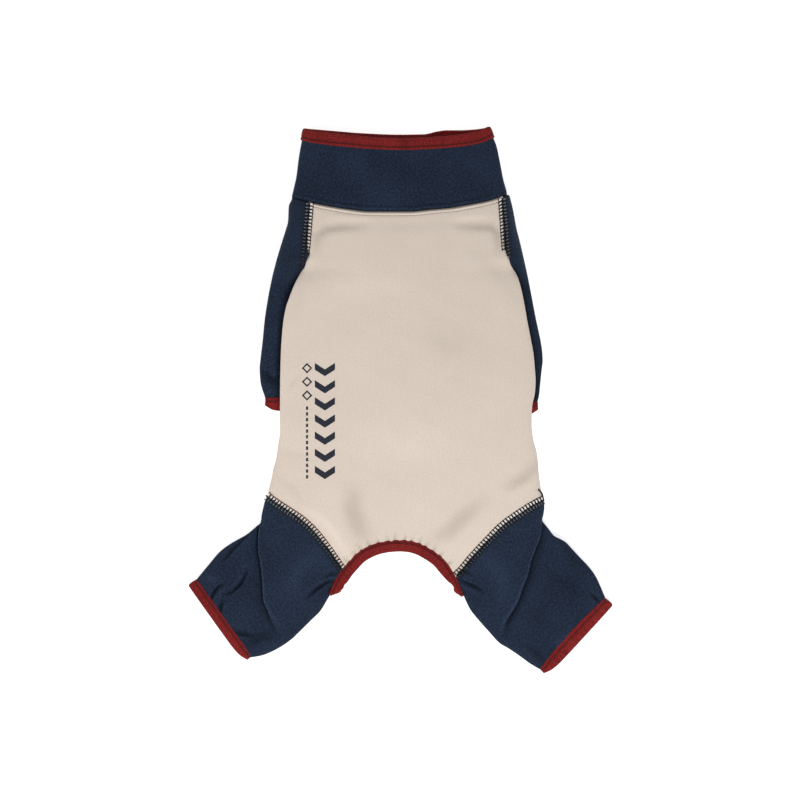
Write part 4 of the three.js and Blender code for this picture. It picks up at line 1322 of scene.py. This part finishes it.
def seat(surface, path, above=0.0, smooth=3):
    """A plan path dropped on a surface: points and the surface's directions there."""
    found, ups = [], []
    for x, y in path[:, :2]:
        start = Vector((x + SHIFT[0], y + SHIFT[1], 90))
        spot, normal, _, _ = surface.ray_cast(start, Vector((0, 0, -1)))
        if spot is None:
            if not found:
                continue
            spot, normal = Vector((start.x, start.y, found[-1][2])), Vector(ups[-1])
        if normal.z < 0:
            normal = -normal
        found.append(np.array(spot))
        ups.append(np.array(normal))
    found, ups = np.array(found), np.array(ups)
    weights = np.ones(2 * smooth + 1) / (2 * smooth + 1)
    padded_z = np.pad(found[:, 2], smooth, mode="edge")
    found[:, 2] = np.convolve(padded_z, weights, "valid")
    ups = np.stack([np.convolve(np.pad(c, smooth, mode="edge"), weights, "valid") for c in ups.T], 1)
    ups /= np.linalg.norm(ups, axis=1)[:, None]
    return found + ups * above - SHIFT, ups


ACROSS = TURN / 4


def stitches(name, points, ups, material, pitch, length, radius, rise=0.3, flatness=1.0,
             turn=0.0, uneven=0.06, seed=3, closed=False):
    """A line of stitches along points in millimetres, as one plain mesh."""
    made = bpy.data.meshes.new(name)
    count = len(points)
    edges = [(k, k + 1) for k in range(count - 1)]
    if closed:
        edges.append((count - 1, 0))
    made.from_pydata(((np.array(points) + SHIFT) * MM).tolist(), edges, [])
    direction = made.attributes.new("up", "FLOAT_VECTOR", "POINT")
    direction.data.foreach_set("vector", np.array(ups, float).ravel())
    piece = bpy.data.objects.new(name, made)
    bpy.context.collection.objects.link(piece)
    nodes = piece.modifiers.new("stitches", "NODES")
    nodes.node_group = STITCHES
    wanted = {
        "Pitch": pitch * MM, "Length": length * MM, "Radius": radius * MM, "Rise": rise * MM,
        "Flatness": flatness, "Turn": turn, "Unevenness": uneven, "Seed": seed,
        "Material": material,
    }  # fmt: skip
    for socket in STITCHES.interface.items_tree:
        if socket.in_out == "INPUT" and socket.name in wanted:
            nodes[socket.identifier] = wanted[socket.name]
    graph = bpy.context.evaluated_depsgraph_get()
    plain = bpy.data.meshes.new_from_object(piece.evaluated_get(graph))
    piece.modifiers.clear()
    piece.data = plain
    bpy.data.meshes.remove(made)
    plain.name = name
    return dress(piece, None)


# A flatlock seam's stitches, and how far beside its line they run
FLATLOCK_PITCH = 2.55
RUNGS_BESIDE = 1.6
EDGE_BESIDE = 3.15
PATH_STEP = 0.6  # between the points of a path that stitches follow


def flatlock(name, surfaces, seam, cream_side, edge_thread=THREAD_BLACK, stops=None, slant=0.0):
    """Flat seam between cream and navy cloth: puffs of cloth between rungs of black thread, and
    a line of thread along both edges and the middle. cream_side is 1 where the cream lies to
    the left of the seam's direction, and edge_thread is the cream edge's. stops gives the place
    along Y where each part ends, and slant turns the rungs."""
    pieces = []

    def lay(line_name, path, part, aside, above, material, length, radius, **given):
        if stops:
            path = path[path[:, 1] > stops[part]]
        line, ups = seat(surfaces[part], beside(path, aside), above)
        pieces.append(stitches(f"{name}_{line_name}", line, ups, material, FLATLOCK_PITCH, length,
                               radius, **given))

    # the rungs lie between the puffs
    shifted = seam[np.searchsorted(distances(seam), FLATLOCK_PITCH / 2):]
    turn = ACROSS + slant
    for part, sign, puff, thread in (
        ("cream", cream_side, PAD_CREAM, edge_thread),
        ("navy", -cream_side, PAD_GREY, THREAD_BLACK),
    ):
        lay(f"{part}_puffs", seam, part, sign * RUNGS_BESIDE, 0.0, puff, 2.5, 0.8,
            rise=0.2, flatness=0.55, turn=turn, seed=5)
        lay(f"{part}_rungs", shifted, part, sign * RUNGS_BESIDE, 0.35, THREAD_BLACK, 3.5, 0.6,
            rise=0.2, turn=turn, uneven=0.05, seed=7)
        lay(f"{part}_edge_thread", seam, part, sign * EDGE_BESIDE, 0.15, thread, 2.7, 0.45,
            rise=0.22, seed=11)
    lay("middle_thread", seam, "middle", 0.0, 0.75, THREAD_BLACK, 2.8, 0.72, rise=0.2, seed=11)
    return pieces


# Armhole seams. start: its upper end along Y. line: a point of it, and how far it leans out for
# each millimetre down. stops: where each part of its stitching goes under the side fold, along Y
ARMHOLES = {
    "left": {
        "start": 151.0,
        "line": (-69.8, 151, -0.081),
        "stops": {"cream": 112.5, "middle": 108, "navy": 101.5},
        "slant": 0.0,
    },
    "right": {
        "start": 154.5,
        "line": (79.2, 150, 0.075),
        "stops": {"cream": 116, "middle": 113, "navy": 106},
        "slant": 0.35,
    },
}
all_tops = surface_of(back, *hind_legs.values(), *sleeves.values(), collar)
seam_stitches = {}
for side in ("left", "right"):
    leg = LEGS[side]
    cream_side = -leg["sign"]
    line = path_through([leg["outer"][0]] + leg["seam"][1:], pitch=PATH_STEP)[:-2]
    tops = {"cream": all_tops, "navy": all_tops, "middle": all_tops}
    edge_thread = THREAD_BROWN if side == "left" else THREAD_BLACK
    seam_stitches[f"hip_{side}"] = flatlock(f"hip_{side}", tops, line, cream_side, edge_thread)
    # the armhole's seam runs straight on under the body's side fold
    armhole = ARMHOLES[side]
    across, level, lean = armhole["line"]
    along = np.arange(armhole["start"], ARMHOLE_END[0], -PATH_STEP)
    line = np.stack([across + (level - along) * lean, along], 1)
    tops = {"cream": surface_of(back), "navy": surface_of(sleeves[side]), "middle": all_tops}
    seam_stitches[f"armhole_{side}"] = flatlock(f"armhole_{side}", tops, line, cream_side,
                                                stops=armhole["stops"], slant=armhole["slant"])

# A line of thread sinks into every binding
for name, (line, ups) in groove_lines.items():
    seam_stitches[name] = [stitches(f"{name}_thread", line, ups, THREAD_RED, 2.4, 2.0, 0.26,
                                    rise=0.15, closed=True, seed=2)]

# The back's topstitching under the collar, and both shoulders' double line
across = np.arange(-66.0, 74.0, PATH_STEP)
line = beside(np.stack([across, smooth_table(COLLAR_SEAM, across)], 1), -TOPSTITCH_BELOW)
line, ups = seat(all_tops, line, 0.12)
topstitch = stitches("collar_topstitch", line, ups, THREAD_TAN, 2.0, 1.5, 0.24, rise=0.15)
seam_stitches["collar"] = [topstitch]
for side, start, end in (("left", -82.5, -74.0), ("right", 81.5, 85.0)):
    seam_stitches[f"shoulder_{side}"] = []
    for k, below in enumerate((1.6, 4.6)):
        across = np.arange(start, end, PATH_STEP)
        line = np.stack([across, smooth_table(COLLAR_SEAM, across) - below], 1)
        line, ups = seat(all_tops, line, 0.1)
        seam_stitches[f"shoulder_{side}"].append(
            stitches(f"shoulder_{side}_{k}", line, ups, THREAD_BLACK, 2.2, 2.0, 0.3, rise=0.12)
        )


back_surface = surface_of(back)
PRINT_STEP = 1.2  # size of a printed shape's faces


def print_patch(name, shapes):
    """Printed shapes laid on the cloth of the back, each with four corners."""
    points, faces = [], []
    for corners in shapes:
        a, b, c, d = (np.array(corner, float) for corner in corners)
        wide = max(2, int(np.linalg.norm(b - a) / PRINT_STEP) + 1)
        long = max(2, int(np.linalg.norm(d - a) / PRINT_STEP) + 1)
        s, t = np.meshgrid(np.linspace(0, 1, wide), np.linspace(0, 1, long))
        s, t = s[..., None], t[..., None]
        plan = ((1 - s) * (1 - t) * a + s * (1 - t) * b + s * t * c + (1 - s) * t * d).reshape(-1, 2)
        laid, _ = seat(back_surface, plan, 0.12, smooth=0)
        start = len(points)
        points += laid.tolist()
        for row in range(long - 1):
            for column in range(wide - 1):
                k = start + row * wide + column
                faces.append((k, k + 1, k + wide + 1, k + wide))
    return dress(face_outward(plain_mesh(name, points, faces, INK)), None)


# The print: a column of chevrons, three open diamonds and a dashed line
CHEVRON = {
    "left": -65.5, "right": -50.0, "top": 28.5, "pitch": 13.2, "drop": 5.0, "bar": 5.2, "count": 7,
}  # fmt: skip
chevrons = []
centre = (CHEVRON["left"] + CHEVRON["right"]) / 2
bar = CHEVRON["bar"]
for k in range(CHEVRON["count"]):
    top = CHEVRON["top"] - k * CHEVRON["pitch"]
    low = top - CHEVRON["drop"]
    for end in (CHEVRON["left"], CHEVRON["right"]):
        chevrons.append([(end, top), (centre, low), (centre, low - bar), (end, top - bar)])
DIAMOND = {"across": -71.5, "along": (24.5, 14.0, 3.5), "half_width": 4.0, "hole": 0.62}
diamonds = []
for along in DIAMOND["along"]:
    centre = np.array([DIAMOND["across"], along])
    outer = centre + DIAMOND["half_width"] * np.array([(0, 1), (1, 0), (0, -1), (-1, 0)])
    inner = mix(centre, outer, DIAMOND["hole"])
    for k in range(4):
        diamonds.append([outer[k], outer[(k + 1) % 4], inner[(k + 1) % 4], inner[k]])
DASH = {"left": -72.3, "right": -70.7, "top": -5.0, "bottom": -60.0, "pitch": 4.4, "length": 2.6}
left, right = DASH["left"], DASH["right"]
dashes = []
for top in np.arange(DASH["top"], DASH["bottom"], -DASH["pitch"]):
    low = top - DASH["length"]
    dashes.append([(left, top), (right, top), (right, low), (left, low)])
motifs = [
    print_patch("chevrons", chevrons),
    print_patch("diamonds", diamonds),
    print_patch("dashes", dashes),
]

# A loose end of black thread at the right hip
TAIL_RADIUS = 0.7
tail = path_through([(106.3, -68.9), (108.2, -70.9), (109.5, -73.6), (110.2, -77.2)], count=16)
tail, tail_ups = seat(all_tops, tail, 0.55, smooth=1)
turns = np.linspace(0, TURN, 7)[:-1][None, :, None]
along = np.gradient(tail, axis=0)
along /= np.linalg.norm(along, axis=1)[:, None]
sides = np.cross(along, tail_ups)
ring = sides[:, None, :] * np.cos(turns) + tail_ups[:, None, :] * np.sin(turns)
tail_uv = np.zeros((*ring.shape[:2], 2))
tube = tail[:, None, :] + TAIL_RADIUS * ring
loose_end = grid_mesh("loose_thread", tube, tail_uv, THREAD_BLACK, around=True)
loose_end = dress(face_outward(loose_end), None)

# Floor, light and camera
bpy.ops.mesh.primitive_plane_add(size=12, location=(0, 0, 0))
floor = bpy.context.object
floor.name = "floor"
floor_white = plain_material("pale_floor", "#dcdcdc", 1.0)
glow = floor_white.node_tree.nodes["Principled BSDF"]
glow.inputs["Emission Color"].default_value = (1, 1, 1, 1)
glow.inputs["Emission Strength"].default_value = 0.72  # the photo's ground is pure white
floor.data.materials.append(floor_white)

world = bpy.data.worlds.new("studio")
bpy.context.scene.world = world
world.use_nodes = True
world.node_tree.nodes["Background"].inputs["Color"].default_value = (1, 1, 1, 1)
world.node_tree.nodes["Background"].inputs["Strength"].default_value = 0.36


def area_light(name, place, aim, size, power):
    """A square lamp, aimed at a point."""
    lamp = bpy.data.lights.new(name, "AREA")
    lamp.shape = "SQUARE"
    lamp.size = size
    lamp.energy = power
    holder = bpy.data.objects.new(name, lamp)
    bpy.context.collection.objects.link(holder)
    holder.location = place
    holder.rotation_euler = (Vector(aim) - Vector(place)).to_track_quat("-Z", "Y").to_euler()
    return holder


area_light("key", (0.25, -0.8, 1.25), (0, 0, 0), 0.5, 11.5)
area_light("fill", (-1.2, 0.1, 1.2), (0, 0, 0), 0.8, 6.0)

CAMERA_HEIGHT = 3.0
GARMENT_TOP = 0.02
PHOTO_SIDE = 0.616  # the photo's side at the garment's top, in metres
lens = bpy.data.cameras.new("camera")
camera = bpy.data.objects.new("camera", lens)
bpy.context.collection.objects.link(camera)
camera.location = (SHIFT[0] * MM, SHIFT[1] * MM, CAMERA_HEIGHT)
lens.sensor_width = 36
lens.lens = lens.sensor_width * (CAMERA_HEIGHT - GARMENT_TOP) / PHOTO_SIDE
lens.dof.use_dof = False
bpy.context.scene.camera = camera
bpy.context.scene.view_settings.view_transform = "Standard"
